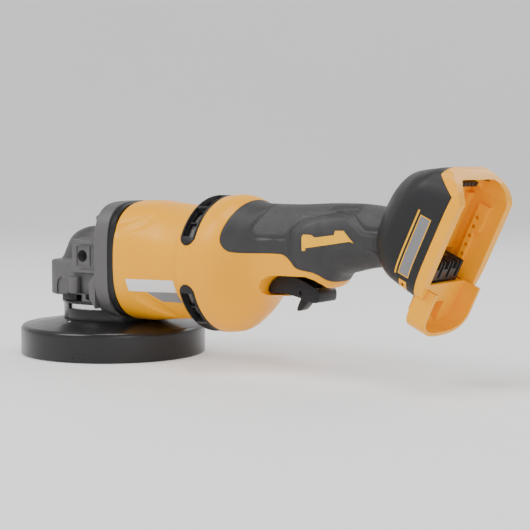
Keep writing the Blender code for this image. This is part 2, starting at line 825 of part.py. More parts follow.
def motor_inside():
    centre = (0, 0, MOTOR_Z)
    put(
        "rotor_shaft",
        turned_mesh(
            [(0.0, 24.7), (SHAFT_R, 24.7), (SHAFT_R, 92.0), (3.6, 92.4), (3.6, 100.5), (0.0, 100.5)],
            axis="X",
            centre=centre,
            segments=24,
            closed=False,
        ),
        "steel",
        (24.7, 0, MOTOR_Z),
    )
    ring = [(SHAFT_R + GAP, 57.0), (18.3, 57.0), (18.3, 88.0), (SHAFT_R + GAP, 88.0)]
    core = turned_mesh(ring, axis="X", centre=centre, segments=32)
    put("rotor_core", core, "dark_steel", (57.0, 0, MOTOR_Z))
    fan()
    ring = [(19.0, 56.0), (37.8, 56.0), (37.8, 89.0), (19.0, 89.0)]
    stator = put("stator", turned_mesh(ring, axis="X", centre=centre, segments=30), "copper")
    for slot in range(6):
        angle = math.radians(60 * slot + 30)
        y, z = 27.0 * math.cos(angle), MOTOR_Z + 27.0 * math.sin(angle)
        cut(stator, rod_mesh((50.0, y, z), (95.0, y, z), 3.0, segments=9))
    bearing("front_rotor_bearing", SHAFT_R + GAP, 13.1, 24.9, 31.5, "X")
    bearing("rear_rotor_bearing", 3.6 + GAP, 9.0, 93.0, 99.6, "X")
    ring = [(9.3, 92.8), (38.3, 92.8), (38.3, 96.6), (9.3, 96.6)]
    plate = put("motor_end_plate", turned_mesh(ring, axis="X", centre=centre, segments=28), "black")
    for slot in range(6):
        angle = math.radians(60 * slot)
        y, z = 25.0 * math.cos(angle), MOTOR_Z + 25.0 * math.sin(angle)
        cut(plate, rod_mesh((90.0, y, z), (99.0, y, z), 6.5, segments=8))


def fan(blades=7):
    """A hub disc with straight radial blades joined to it."""
    centre = (0, 0, MOTOR_Z)
    bore = SHAFT_R + GAP
    disc = [(bore, 40.0), (33.0, 40.0), (33.0, 42.0), (10.0, 42.0), (10.0, 50.0), (bore, 50.0)]
    hub = turned_mesh(disc, axis="X", centre=centre, segments=24)
    wheel = put("cooling_fan", hub, "black", (40.0, 0, MOTOR_Z))
    for blade in range(blades):
        bm = box_mesh((41.0, -0.9, 9.0), (51.5, 0.9, 32.4))
        turn = Matrix.Rotation(2 * math.pi * blade / blades, 4, "X")
        bmesh.ops.transform(bm, matrix=Matrix.Translation(centre) @ turn, verts=bm.verts)
        join(wheel, bm)


def vents():
    """Frames above and below, each with windows and a screen behind it."""
    centre = (0, 0, MOTOR_Z)
    frame = [(VENT_R[0], VENT_X[0]), (VENT_R[1] - 1.2, VENT_X[0]), (VENT_R[1], VENT_X[0] + 1.2)]
    frame += [(VENT_R[1], VENT_X[1] - 1.2), (VENT_R[1] - 1.2, VENT_X[1]), (VENT_R[0], VENT_X[1])]
    screen = [(42.2, 102.0), (43.2, 102.0), (43.2, 114.4), (42.2, 114.4)]
    window = [(40.0, 104.0), (52.0, 104.0), (52.0, 112.0), (40.0, 112.0)]
    for name, start, sweep in (("upper", 18.5, 143.0), ("lower", 194.5, 151.0)):
        body = put(
            f"vent_frame_{name}",
            turned_mesh(frame, axis="X", centre=centre, start=start, sweep=sweep, segments=18),
            "black",
        )
        count = 4
        pitch = (sweep - 12.0) / count
        for index in range(count):
            begin = start + 6.0 + pitch * index + 2.13
            cut(
                body,
                turned_mesh(window, axis="X", centre=centre, start=begin, sweep=pitch - 4.3, segments=3),
            )
        put(
            f"vent_screen_{name}",
            turned_mesh(screen, axis="X", centre=centre, start=start + 1, sweep=sweep - 2, segments=14),
            "dark_steel",
        )


# ---------------------------------------------------------------- rear housing and grip


def rear_rings(inset, count=28):
    rings = []
    for x, top, bottom, half, power, low_power in REAR_SECTIONS:
        middle, height = (top + bottom) / 2, (top - bottom) / 2
        outline = superellipse(half - inset, height - inset, power, count, low_power)
        rings.append([(x, y, middle + z) for y, z in outline])
    return rings


def rear_shell_mesh():
    return grid_mesh(rear_rings(0.0) + rear_rings(SHELL_WALL)[::-1], wrap=True)


def handle_solid_mesh(grow):
    """The handle's outside as one solid, grown a little, to open the foot cover round it."""
    rings = [ring for ring in rear_rings(-grow) if ring[0][0] > 215.0]
    return grid_mesh(rings, wrap=False)


def paddle_slot_mesh():
    side = PADDLE_HALF + 0.7
    return bevelled_box_mesh((168.0, -side, 58.0), (196.6, side, 71.5), 1.0)


def recess_roof_mesh():
    """The handle's inside, filled: the part of it close round the paddle's recess becomes its roof."""
    return grid_mesh(rear_rings(0.5), wrap=False)


def beyond_handle_mesh():
    """Everything behind the tilted plane where the grip ends inside the foot."""
    return foot_box_mesh((HANDLE_END_N, 300.0), (-60.0, 60.0), (60.0, 300.0))


def rear_shells():
    region = list(GRIP_OUTLINE)
    for sign in (-1, 1):
        side = side_name(sign)
        housing = put(f"rear_housing_{side}", rear_shell_mesh(), "yellow")
        centre = (0, 0, MOTOR_Z)
        front = VENT_X[0]
        tab = [
            (44.8, front),
            (48.2, front),
            (48.2, 118.5),
            (47.0, 118.5),
            (47.0, 115.9),
            (44.8, 113.0),
        ]
        begin = -13.0 if sign > 0 else 163.5
        join(housing, turned_mesh(tab, axis="X", centre=centre, start=begin, sweep=29.5, segments=10))
        cut(housing, prism_mesh(region, "XZ", -80.0, 80.0))
        roof = hidden(f"recess_roof_{side}", recess_roof_mesh())
        keep(roof, prism_mesh(offset_outline(PADDLE_RECESS, -RECESS_ROOF), "XZ", -40.0, 40.0))
        join(housing, roof)
        cut(housing, prism_mesh(PADDLE_RECESS, "XZ", -60.0, 60.0))
        cut(housing, paddle_slot_mesh())
        lug = sorted((sign * GAP / 2, sign * (PADDLE_ARM_INNER - 0.8)))
        join(housing, prism_mesh(PADDLE_LUG, "XZ", *lug))
        pivot_x, pivot_z = PADDLE_PIVOT
        cut(housing, rod_mesh((pivot_x, -30.0, pivot_z), (pivot_x, 30.0, pivot_z), 2.1, segments=12))
        keep(housing, half_space(sign))
        grip = put(f"grip_{side}", rear_shell_mesh(), "rubber")
        keep(grip, prism_mesh(offset_outline(region, GAP), "XZ", -80.0, 80.0))
        cut(grip, paddle_slot_mesh())
        cut(grip, beyond_handle_mesh())
        keep(grip, half_space(sign))
        for x, z in handle_screw_spots():
            low, high = sorted((sign * GAP / 2, sign * 20.6))
            join(grip, rod_mesh((x, low, z), (x, high, z), 4.0, segments=8))
            if sign > 0:
                cut(grip, rod_mesh((x, -1.0, z), (x, 40.0, z), 1.8, segments=6))
                cut(grip, rod_mesh((x, 17.5, z), (x, 40.0, z), 3.3, segments=8))
            else:
                cut(grip, rod_mesh((x, 1.0, z), (x, -16.0, z), 1.8, segments=6))
    for index, (x, z) in enumerate(handle_screw_spots(), 1):
        head = rod_mesh((x, 17.8, z), (x, 20.4, z), 3.0, segments=8)
        screw = put(f"handle_screw_{index}", head, "dark_steel")
        join(screw, rod_mesh((x, 19.0, z), (x, -15.5, z), 1.3, segments=6))


def handle_screw_spots():
    return ((160.0, 98.6), (206.0, 101.0), (238.0, 84.0))


# ---------------------------------------------------------------- paddle and lock-off


def paddle_group():
    pivot_x, pivot_z = PADDLE_PIVOT
    origin = (pivot_x, 0, pivot_z)
    body = prism_mesh(PADDLE_OUTLINE, "XZ", -PADDLE_HALF, PADDLE_HALF)
    paddle = put("paddle_lever", body, "black", origin)
    inner = PADDLE_HALF - PADDLE_WALL
    cut(paddle, prism_mesh(PADDLE_HOLLOW, "XZ", -inner, inner))
    cut(paddle, box_mesh((150.0, -PADDLE_ARM_INNER, 40.0), (169.5, PADDLE_ARM_INNER, 80.0)))
    side = LOCK_OFF_HALF + 0.7
    cut(paddle, box_mesh((171.0, -side, 40.0), (186.8, side, 58.0)))
    cut(paddle, rod_mesh((pivot_x, -9.6, pivot_z), (pivot_x, 9.6, pivot_z), 2.2, segments=16))
    lock_x, lock_z = LOCK_OFF_PIVOT
    cut(paddle, rod_mesh((lock_x, -20.0, lock_z), (lock_x, 20.0, lock_z), 1.6, segments=14))
    lock_origin = (lock_x, 0, lock_z)
    pin = rod_mesh((lock_x, -10.0, lock_z), (lock_x, 10.0, lock_z), 1.3, segments=14)
    put("lock_off_pin", pin, "steel", lock_origin)
    pin = rod_mesh((pivot_x, -9.2, pivot_z), (pivot_x, 9.2, pivot_z), 1.8, segments=12)
    put("paddle_pin", pin, "steel", origin)
    trigger = prism_mesh(LOCK_OFF_OUTLINE, "XZ", -LOCK_OFF_HALF, LOCK_OFF_HALF)
    lever = put("lock_off_lever", trigger, "black", lock_origin)
    cut(lever, rod_mesh((lock_x, -20.0, lock_z), (lock_x, 20.0, lock_z), 1.6, segments=14))
    put("paddle_spring", helix_mesh((188.0, 0), 3.0, 0.5, 50.6, 73.4, 5), "steel", (188.0, 0, 50.6))


def switch_module():
    put("switch_body", bevelled_box_mesh((172.0, -11.0, 74.0), (210.0, 11.0, 94.0), 1.0), "black")
    put("control_module", bevelled_box_mesh((121.0, -25.0, 56.0), (139.0, 25.0, 92.0), 1.5), "board_green")


# ---------------------------------------------------------------- battery foot


def cover_rings(inset, extra, count=26):
    rings = []
    for n, top, bottom, half, power in COVER_SECTIONS:
        middle, height = (top + bottom) / 2, (top - bottom) / 2
        outline = superellipse(half - inset, height - inset, power, count)
        rings.append([foot_point(n + inset, y, middle + u) for y, u in outline])
    if extra:
        n, top, bottom, half, power = COVER_SECTIONS[-1]
        middle, height = (top + bottom) / 2, (top - bottom) / 2
        outline = superellipse(half - inset, height - inset, power, count)
        rings.append([foot_point(n + extra, y, middle + u) for y, u in outline])
    return rings


def foot_cover():
    for sign in (-1, 1):
        side = side_name(sign)
        cover = put(f"foot_cover_{side}", grid_mesh(cover_rings(0.0, 0.0), wrap=False), "black")
        cut(cover, grid_mesh(cover_rings(COVER_WALL, 8.0), wrap=False))
        cut(cover, handle_solid_mesh(GAP + 0.05))
        cut(cover, above_cap_edge())
        keep(cover, half_space(sign))
        for (n, u), name, look in zip(badge_spots(), ("foot_badge", "tag_tab"), ("label_grey", "yellow")):
            low, high = sorted((sign * 28.0, sign * 60.0))
            opening = foot_box_mesh((n[0] - GAP, n[1] + GAP), (low, high), (u[0] - GAP, u[1] + GAP))
            recess = hidden(f"{name}_recess_{side}", opening)
            cut(recess, grid_mesh(cover_rings(0.9, 8.0), wrap=False))
            helper(cover, recess, "DIFFERENCE")
            plate = put(f"{name}_{side}", foot_box_mesh(n, (low, high), u), look)
            keep(plate, grid_mesh(cover_rings(0.0, 0.0), wrap=False))
            cut(plate, grid_mesh(cover_rings(0.6, 8.0), wrap=False))


def badge_spots():
    return (((214.0, 221.0), (183.5, 221.5)), ((216.0, 221.5), (174.6, 180.6)))


def rounded_arch(half, low, high, radius, steps=6):
    """Outline in (y, u) of a box whose upper corners are rounded."""
    points = [(-half, low), (half, low)]
    for centre, start in ((half - radius, 0.0), (radius - half, 90.0)):
        for i in range(steps + 1):
            angle = math.radians(start + 90.0 * i / steps)
            points.append((centre + radius * math.cos(angle), high - radius + radius * math.sin(angle)))
    return points


def pocket_outline(half, low, high, steps=12, power=2.6):
    """Outline in (y, u) of the pocket: straight sides above a rounded bottom."""
    points = [(half, high), (-half, high)]
    for i in range(steps + 1):
        angle = math.pi * i / steps
        c, s = math.cos(angle), math.sin(angle)
        y = -math.copysign(abs(c) ** (2 / power), c) * half
        points.append((y, POCKET_SIDE_U - (POCKET_SIDE_U - low) * abs(s) ** (2 / power)))
    return points


def foot_loft(outline, low, high):
    return grid_mesh([[foot_point(n, y, u) for y, u in outline] for n in (low, high)], wrap=False)


def foot_band(inset, count=32):
    """The foot's outline in (y, u) at its rear rim."""
    top, bottom, half, power = COVER_SECTIONS[-1][1:]
    middle, height = (top + bottom) / 2, (top - bottom) / 2
    return [(y, middle + u) for y, u in superellipse(half - inset, height - inset, power, count)]


def foot_prism(outline, half=60.0):
    """Extrudes a side view in (n, u) across the whole foot."""
    return grid_mesh([[foot_point(n, y, u) for n, u in outline] for y in (-half, half)], wrap=False)


def above_cap_edge():
    (rear_n, rear_u), (front_n, front_u) = CAP_EDGE
    rim_side = [(rear_n, rear_u), (300.0, rear_u), (300.0, 300.0)]
    return foot_prism([*rim_side, (front_n, 300.0), (front_n, front_u)])


def below_cap_edge():
    (rear_n, rear_u), (front_n, front_u) = CAP_EDGE
    rear_n, rear_u, front_n, front_u = rear_n + GAP, rear_u + 0.4, front_n + GAP, front_u + 0.4
    rim_side = [(rear_n, 100.0), (rear_n, rear_u), (front_n, front_u), (front_n, 300.0)]
    return foot_prism([(180.0, 100.0), *rim_side, (180.0, 300.0)])


def beyond_top_corner():
    return foot_prism([*TOP_CORNER, (205.0, 257.6), (205.0, 300.0), (300.0, 300.0), (300.0, 238.8)])


def battery_foot():
    receiver = put("battery_receiver", foot_loft(foot_band(0.0), 205.0, RIM_N), "yellow")
    cut(receiver, below_cap_edge())
    tub = []
    for n, top, bottom, half, power in TUB_SECTIONS:
        middle, height = (top + bottom) / 2, (top - bottom) / 2
        tub.append([foot_point(n, y, middle + u) for y, u in superellipse(half, height, power, 32)])
    join(receiver, grid_mesh(tub, wrap=False))
    cut(receiver, beyond_top_corner())
    cut(receiver, foot_loft(rounded_arch(CAVITY_HALF, *CAVITY_U, 8.0), *CAVITY_N))
    cut(receiver, foot_loft(rounded_arch(CAVITY_HALF - 2.0, *UPPER_CAVITY_U, 8.0), *UPPER_CAVITY_N))
    half, wall = POCKET_HALF, POCKET_WALL
    low_u, high_u = POCKET_U
    join(receiver, foot_loft(pocket_outline(half, low_u, high_u), *POCKET_N))
    join(receiver, foot_prism(UNDER_BLOCK, UNDER_BLOCK_HALF))
    cut(receiver, foot_prism(UNDER_BLOCK_HOLLOW, UNDER_BLOCK_HALF - wall))
    inside = pocket_outline(half - wall, low_u + wall, 200.0)
    cut(receiver, foot_loft(inside, POCKET_N[0] + 1.6, 260.0))
    cut(receiver, foot_box_mesh((212.5, 222.0), (-15.0, 15.0), (243.6, 247.6)))
    put("latch_plate", foot_box_mesh((212.9, 217.6), (-14.6, 14.6), (244.0, 247.2)), "black")
    block = put("terminal_block", foot_box_mesh((207.7, 227.0), (-22.0, 22.0), (179.8, 195.0), 1.0), "black")
    cut(block, foot_box_mesh((211.0, 213.4), (-18.4, 18.4), (183.6, 205.0)))
    contacts = put("terminal_contacts", foot_box_mesh((211.4, 213.0), (-18.0, 18.0), (184.0, 186.0)), "brass")
    for y in TERMINAL_Y:
        cut(block, foot_box_mesh((212.0, 240.0), (y - 1.6, y + 1.6), (183.4, 205.0)))
        join(contacts, foot_box_mesh((212.4, 225.0), (y - 0.5, y + 0.5), (184.3, 193.0)))


def main():
    clear_scene()
    gear_case()
    spindle_retainer()
    gasket_and_case_screws()
    bearing("lower_spindle_bearing", 8.3, 16.7, 27.0, 37.7, "Z")
    bearing("upper_spindle_bearing", 5.3, 8.6, 71.5, 79.0, "Z")
    spindle_group()
    crown_gear()
    drive_pinion()
    guard()
    guard_lever()
    spindle_lock()
    motor_housing()
    motor_inside()
    vents()
    rear_shells()
    paddle_group()
    switch_module()
    foot_cover()
    battery_foot()


main()
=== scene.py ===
"""A cordless angle grinder on a pale floor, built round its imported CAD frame."""

import math

import bmesh
import bpy
import numpy as np
from mathutils import Matrix, Vector


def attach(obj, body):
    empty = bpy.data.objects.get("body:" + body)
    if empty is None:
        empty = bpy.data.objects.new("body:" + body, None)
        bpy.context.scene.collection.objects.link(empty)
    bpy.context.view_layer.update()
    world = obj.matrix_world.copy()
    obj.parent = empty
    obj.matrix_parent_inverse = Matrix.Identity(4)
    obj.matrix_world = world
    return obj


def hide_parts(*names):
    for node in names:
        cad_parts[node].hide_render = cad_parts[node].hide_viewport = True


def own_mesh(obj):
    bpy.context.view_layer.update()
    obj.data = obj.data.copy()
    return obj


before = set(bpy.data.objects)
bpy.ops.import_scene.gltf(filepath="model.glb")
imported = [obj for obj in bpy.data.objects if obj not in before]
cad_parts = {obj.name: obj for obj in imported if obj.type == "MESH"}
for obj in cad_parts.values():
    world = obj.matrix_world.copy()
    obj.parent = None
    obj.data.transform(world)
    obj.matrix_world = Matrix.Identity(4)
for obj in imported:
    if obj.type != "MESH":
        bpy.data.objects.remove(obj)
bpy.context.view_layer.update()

MM = 0.001
GAP = 0.3

# Gear head and spindle
MOTOR_Z = 69.0
RIM_Z = -3.0
GUARD_RADIUS = 70.0
GUARD_WALL = 2.0
GUARD_SKIRT_TOP = 19.0
GUARD_START = -170.0
GUARD_SWEEP = 240.0
COLLAR_INNER = 35.9
COLLAR_OUTER = 37.4
COLLAR_LIP = 38.7
COLLAR_Z = (20.6, 37.9)
FLANGE_X = (17.0, 31.0)
FLANGE_HALF = (41.5, 43.6)
CASE_SCREW_SPOTS = ((-31.0, 100.0), (31.0, 100.0), (-34.0, 42.0), (34.0, 42.0))
BOSS_FACE_Y = 32.3
BOSS_X = (-12.8, 21.7)
BOSS_Z = (58.5, 84.0)
SIDE_SOCKET = (-2.7, 71.5)
SIDE_SOCKET_R = 4.5

# Spindle lock
LOCK_XY = (8.5, 9.5)
LOCK_PIN_R = 2.5

# Motor
BARREL_X = (37.0, 101.0)
BARREL_BORE = 38.6
VENT_X = (101.3, 114.7)
VENT_R = (43.6, 49.0)

# Handle: x, top, bottom and half width of each cross-section, then the roundness of its upper
# and lower halves (2 is an ellipse, more is squarer)
REAR_SECTIONS = (
    (115.3, 118.0, 20.0, 49.0, 2.0, 2.0),
    (124.0, 118.8, 21.2, 48.8, 2.0, 2.0),
    (131.0, 117.6, 26.0, 46.5, 2.0, 2.0),
    (136.0, 115.4, 30.4, 43.5, 2.0, 2.0),
    (141.0, 113.6, 36.0, 39.0, 2.0, 2.0),
    (146.0, 113.0, 42.5, 33.8, 2.1, 2.2),
    (151.0, 112.8, 46.8, 29.8, 2.2, 2.4),
    (158.0, 112.7, 48.2, 27.0, 2.3, 2.8),
    (166.0, 112.7, 49.0, 25.5, 2.3, 3.1),
    (178.0, 112.9, 51.6, 25.0, 2.3, 3.4),
    (190.0, 113.5, 54.0, 24.3, 2.3, 3.6),
    (199.0, 114.0, 55.4, 23.0, 2.3, 3.4),
    (204.0, 114.1, 57.4, 21.6, 2.3, 3.0),
    (207.5, 114.2, 61.5, 20.9, 2.3, 2.8),
    (212.0, 114.2, 65.8, 20.8, 2.3, 2.6),
    (220.0, 114.2, 68.2, 21.0, 2.3, 2.5),
    (231.0, 113.6, 70.8, 21.2, 2.3, 2.5),
    (245.0, 112.0, 72.8, 22.2, 2.3, 2.4),
    (262.0, 110.0, 74.0, 23.0, 2.3, 2.4),
)
SHELL_WALL = 3.0
HANDLE_END_N = 201.0

# Outline of the rubber grip in side view (x, z)
GRIP_OUTLINE = (
    (133.0, 90.0), (136.5, 83.0), (142.0, 79.2), (172.0, 79.9), (177.0, 78.8), (181.4, 74.6),
    (185.2, 69.6), (196.9, 68.2), (201.6, 66.0), (205.6, 61.8), (209.5, 59.6), (212.0, 50.0),
    (280.0, 50.0), (280.0, 130.0), (139.0, 130.0), (135.0, 106.0),
)

# Paddle switch
PADDLE_PIVOT = (162.3, 56.8)
PADDLE_HALF = 11.0
PADDLE_WALL = 1.6
PADDLE_ARM_INNER = 6.4
PADDLE_OUTLINE = (
    (153.6, 52.8), (154.0, 55.2), (155.8, 58.2), (159.4, 61.2), (165.0, 63.4), (172.0, 63.6),
    (178.0, 62.2), (184.0, 60.0), (190.0, 57.2), (195.6, 54.6), (195.6, 48.8), (194.6, 46.6),
    (191.6, 45.9), (184.0, 47.6), (177.6, 49.6), (166.0, 51.7), (156.3, 51.3), (154.6, 51.7),
)
PADDLE_HOLLOW = (
    (168.5, 80.0), (168.5, 55.0), (176.0, 53.4), (184.0, 50.4), (192.8, 49.4), (192.8, 80.0),
)
# Side view (x, z) of the recess under the handle that the paddle sits in, open on both sides
PADDLE_RECESS = (
    (152.6, 52.3), (153.4, 56.0), (156.8, 60.8), (162.5, 63.9), (170.0, 64.8), (192.0, 64.8),
    (198.0, 62.6), (201.5, 59.5), (202.5, 55.0), (202.5, 36.0), (167.4, 36.0), (166.8, 50.4),
    (158.0, 49.9), (154.0, 50.1),
)
RECESS_ROOF = 2.4
# Side view (x, z) of the lug inside each half of the housing that holds the paddle's pin
PADDLE_LUG = (
    (158.4, 66.2), (158.4, 56.2), (160.0, 53.4), (163.0, 52.4), (165.6, 54.2), (166.6, 57.0),
    (166.6, 66.2),
)
LOCK_OFF_PIVOT = (180.7, 52.5)
LOCK_OFF_HALF = 4.5
LOCK_OFF_OUTLINE = (
    (178.2, 54.4), (177.4, 50.2), (174.6, 45.2), (172.6, 40.2), (173.4, 38.9), (176.2, 39.4),
    (180.2, 43.6), (182.8, 47.6), (183.6, 51.2), (183.2, 54.6), (180.8, 55.8),
)

# Battery foot: local axis N leaves the foot backwards and down, local axis U runs up along it
FOOT_TILT = math.radians(25.0)
COVER_SECTIONS = (
    (178.5, 228.0, 190.0, 14.0, 2.2),
    (181.0, 234.0, 184.0, 21.0, 2.5),
    (186.0, 240.5, 179.0, 28.0, 2.8),
    (192.0, 244.5, 176.5, 33.5, 3.2),
    (199.0, 248.5, 174.0, 37.4, 3.8),
    (207.0, 252.8, 172.2, 38.4, 4.4),
    (228.0, 256.5, 170.0, 38.4, 4.6),
)
COVER_WALL = 2.6
RIM_N = 235.3
TUB_SECTIONS = (
    (204.6, 246.8, 177.4, 34.6, 4.0),
    (210.5, 249.7, 175.4, 35.2, 4.4),
    (229.3, 253.3, 173.3, 35.2, 4.6),
)
# Side view (n, u) of the edge between the black cover and the receiver's yellow top corner
CAP_EDGE = ((228.0, 242.2), (213.0, 250.8))
# Side view (n, u) of the rounded top corner of the foot
TOP_CORNER = ((235.5, 238.8), (234.0, 242.2), (230.6, 246.6), (226.0, 250.4), (219.9, 253.6), (212.8, 256.2))
CAVITY_HALF = 30.6
CAVITY_N = (207.4, 260.0)
CAVITY_U = (179.4, 242.6)
UPPER_CAVITY_N = (214.6, 260.0)
UPPER_CAVITY_U = (225.0, 251.8)
POCKET_HALF = 30.3
POCKET_WALL = 2.6
POCKET_N = (228.4, 242.0)
POCKET_U = (149.0, 181.0)
POCKET_SIDE_U = 164.0
# Side view (n, u) of the block under the pocket, outside and inside
UNDER_BLOCK = (
    (219.5, 169.6), (219.5, 158.5), (223.0, 153.0), (228.0, 149.6), (231.0, 149.6), (231.0, 169.6),
)
UNDER_BLOCK_HOLLOW = (
    (222.0, 167.4), (222.0, 159.3), (224.6, 155.3), (229.0, 152.2), (240.0, 152.2), (240.0, 167.4),
)
UNDER_BLOCK_HALF = 13.0
TERMINAL_Y = (-16.5, -5.5, 5.5, 16.5)

# Lines in side view (x, z) of the grooves pressed into the rubber grip
GRIP_GROOVES = (
    (
        (228.0, 110.6), (212.0, 108.9), (197.2, 106.2), (187.5, 102.3),
        (181.0, 95.5), (179.6, 86.0), (181.4, 78.0), (187.0, 71.0),
    ),
    ((212.0, 108.9), (221.3, 108.9), (227.0, 106.4), (237.0, 97.8), (248.2, 97.4), (253.2, 102.3), (263.9, 109.0)),
    ((237.5, 85.8), (244.5, 85.2), (248.1, 81.4)),
    ((156.0, 112.3), (150.6, 98.0), (150.6, 93.0), (154.5, 90.2), (176.5, 90.4)),
)
# Side view (x, z) of the two finely textured patches and of the field of ribs on the grip
PATCH_OUTLINE = (
    (157.5, 113.0), (152.2, 98.0), (152.6, 93.2), (155.4, 91.8), (176.0, 92.0),
    (180.0, 98.5), (186.5, 104.6), (197.0, 108.2), (206.0, 110.2), (206.0, 116.0),
)
REAR_PATCH = ((230.0, 113.0), (229.0, 108.4), (238.0, 99.8), (247.0, 99.4), (254.0, 106.5), (262.0, 116.0))
RIB_FIELD = ((204.5, 84.8), (236.5, 84.6), (250.5, 77.0), (252.0, 74.0), (222.0, 66.0), (214.5, 64.0))
RIB_PITCH = 2.45
# Side view (x, z) of the plates on the grip and on the barrel
BADGE_OUTLINE = (
    (190.4, 91.6), (190.9, 82.5), (193.3, 82.6), (193.3, 84.4), (226.3, 89.7), (229.4, 88.8),
    (221.5, 96.7), (214.9, 96.5), (214.0, 93.6), (200.1, 91.6), (197.1, 93.3), (191.4, 93.4),
)
LABEL_WHITE = ((49.5, 57.8), (91.6, 58.4), (92.6, 49.8), (68.6, 49.0), (51.2, 49.1))
LABEL_GREY = ((66.0, 49.0), (92.4, 49.4), (94.2, 42.2), (76.0, 42.0))

# Ranges of n and u of the panel, the tab and the stripe on each side of the foot
PANEL_N, PANEL_U = (214.6, 221.6), (183.8, 223.4)
TAB_N, TAB_U = (215.6, 221.6), (173.6, 180.0)
STRIPE_N, STRIPE_U = (211.2, 212.5), (182.0, 226.4)

# Boolean helpers that settle() still has to remove
CUTTERS = []


# ---------------------------------------------------------------- shapes, in millimetres


def box_mesh(low, high):
    bm = bmesh.new()
    bmesh.ops.create_cube(bm, size=1.0)
    low, high = Vector(low), Vector(high)
    size = high - low
    bmesh.ops.scale(bm, vec=size, verts=bm.verts)
    bmesh.ops.translate(bm, vec=(low + high) / 2, verts=bm.verts)
    return bm


def bevelled_box_mesh(low, high, radius, segments=2):
    bm = box_mesh(low, high)
    bmesh.ops.bevel(bm, geom=bm.edges[:], offset=radius, segments=segments, affect="EDGES", profile=0.5)
    return bm


def rod_mesh(start, end, radius, segments=24):
    start, end = Vector(start), Vector(end)
    bm = bmesh.new()
    length = (end - start).length
    bmesh.ops.create_cone(
        bm,
        cap_ends=True,
        segments=segments,
        radius1=radius,
        radius2=radius,
        depth=length,
    )
    turn = Vector((0, 0, 1)).rotation_difference(end - start).to_matrix().to_4x4()
    bmesh.ops.transform(bm, matrix=Matrix.Translation((start + end) / 2) @ turn, verts=bm.verts)
    return bm


def turned_mesh(profile, axis="Z", centre=(0, 0, 0), segments=48, start=0.0, sweep=360.0, closed=True):
    """Turns a profile of (radius, height) points about an axis; a part turn keeps its end faces."""
    bm = bmesh.new()
    verts = [bm.verts.new((r, 0, h)) for r, h in profile]
    whole = sweep >= 360.0
    if whole:
        pairs = list(zip(verts, verts[1:] + verts[:1] if closed else verts[1:]))
        geometry = verts + [bm.edges.new(pair) for pair in pairs]
    else:
        face = bm.faces.new(verts)
        geometry = verts + list(face.edges) + [face]
    bmesh.ops.rotate(bm, matrix=Matrix.Rotation(math.radians(start), 3, "Z"), verts=bm.verts)
    bmesh.ops.spin(
        bm,
        geom=geometry,
        cent=(0, 0, 0),
        axis=(0, 0, 1),
        angle=math.radians(sweep),
        steps=segments,
    )
    bmesh.ops.remove_doubles(bm, verts=bm.verts, dist=1e-4)
    if axis == "X":
        # The profile's height runs along +X and its start angle is measured from +Y towards +Z
        turn = Matrix(((0, 0, 1), (1, 0, 0), (0, 1, 0))).to_4x4()
        bmesh.ops.transform(bm, matrix=turn, verts=bm.verts)
    bmesh.ops.translate(bm, vec=centre, verts=bm.verts)
    return bm


def prism_mesh(outline, plane, low, high):
    """Extrudes a flat outline: plane XZ along Y, XY along Z, YZ along X."""
    place = {
        "XZ": lambda a, b: (a, low, b),
        "XY": lambda a, b: (a, b, low),
        "YZ": lambda a, b: (low, a, b),
    }[plane]
    along = {"XZ": (0, 1, 0), "XY": (0, 0, 1), "YZ": (1, 0, 0)}[plane]
    bm = bmesh.new()
    face = bm.faces.new([bm.verts.new(place(a, b)) for a, b in outline])
    made = bmesh.ops.extrude_face_region(bm, geom=[face])
    moved = [item for item in made["geom"] if isinstance(item, bmesh.types.BMVert)]
    bmesh.ops.translate(bm, vec=Vector(along) * (high - low), verts=moved)
    return bm


def grid_mesh(rings, wrap):
    """Skins rings of equal length; wrap closes the last ring onto the first, else both ends are capped."""
    bm = bmesh.new()
    rows = [[bm.verts.new(point) for point in ring] for ring in rings]
    count = len(rows[0])
    pairs = list(zip(rows, rows[1:] + rows[:1] if wrap else rows[1:]))
    for row, other in pairs:
        for i in range(count):
            j = (i + 1) % count
            bm.faces.new((row[i], row[j], other[j], other[i]))
    if not wrap:
        bm.faces.new(rows[0])
        bm.faces.new(rows[-1])
    return bm


def superellipse(half_a, half_b, power, count, low_power=None):
    """Points round a rounded box; low_power gives the lower half its own roundness."""
    points = []
    for i in range(count):
        angle = 2 * math.pi * (i + 0.5) / count
        c, s = math.cos(angle), math.sin(angle)
        here = low_power if low_power and s < 0 else power
        a = math.copysign(abs(c) ** (2 / here), c) * half_a
        b = math.copysign(abs(s) ** (2 / here), s) * half_b
        points.append((a, b))
    return points


def offset_outline(outline, distance):
    """Moves each corner of a flat outline inwards for a positive distance."""
    area = sum(a[0] * b[1] - b[0] * a[1] for a, b in zip(outline, outline[1:] + outline[:1]))
    side = 1.0 if area > 0 else -1.0
    moved = []
    for i, here in enumerate(outline):
        before = Vector(outline[i - 1])
        after = Vector(outline[(i + 1) % len(outline)])
        here = Vector(here)
        first = (here - before).normalized()
        second = (after - here).normalized()
        normal = Vector((-first.y - second.y, first.x + second.x)).normalized()
        spread = max(0.5, normal.dot(Vector((-first.y, first.x))))
        moved.append(tuple(here + normal * side * distance / spread))
    return moved


def foot_point(n, y, u):
    c, s = math.cos(FOOT_TILT), math.sin(FOOT_TILT)
    return Vector((n * c + u * s, y, u * c - n * s + RIM_Z))


def foot_box_mesh(n, y, u, bevel=0.0):
    """A box along the foot's own axes, from ranges of n, y and u."""
    low, high = (n[0], y[0], u[0]), (n[1], y[1], u[1])
    bm = bevelled_box_mesh(low, high, bevel) if bevel else box_mesh(low, high)
    for vert in bm.verts:
        vert.co = foot_point(*vert.co)
    return bm


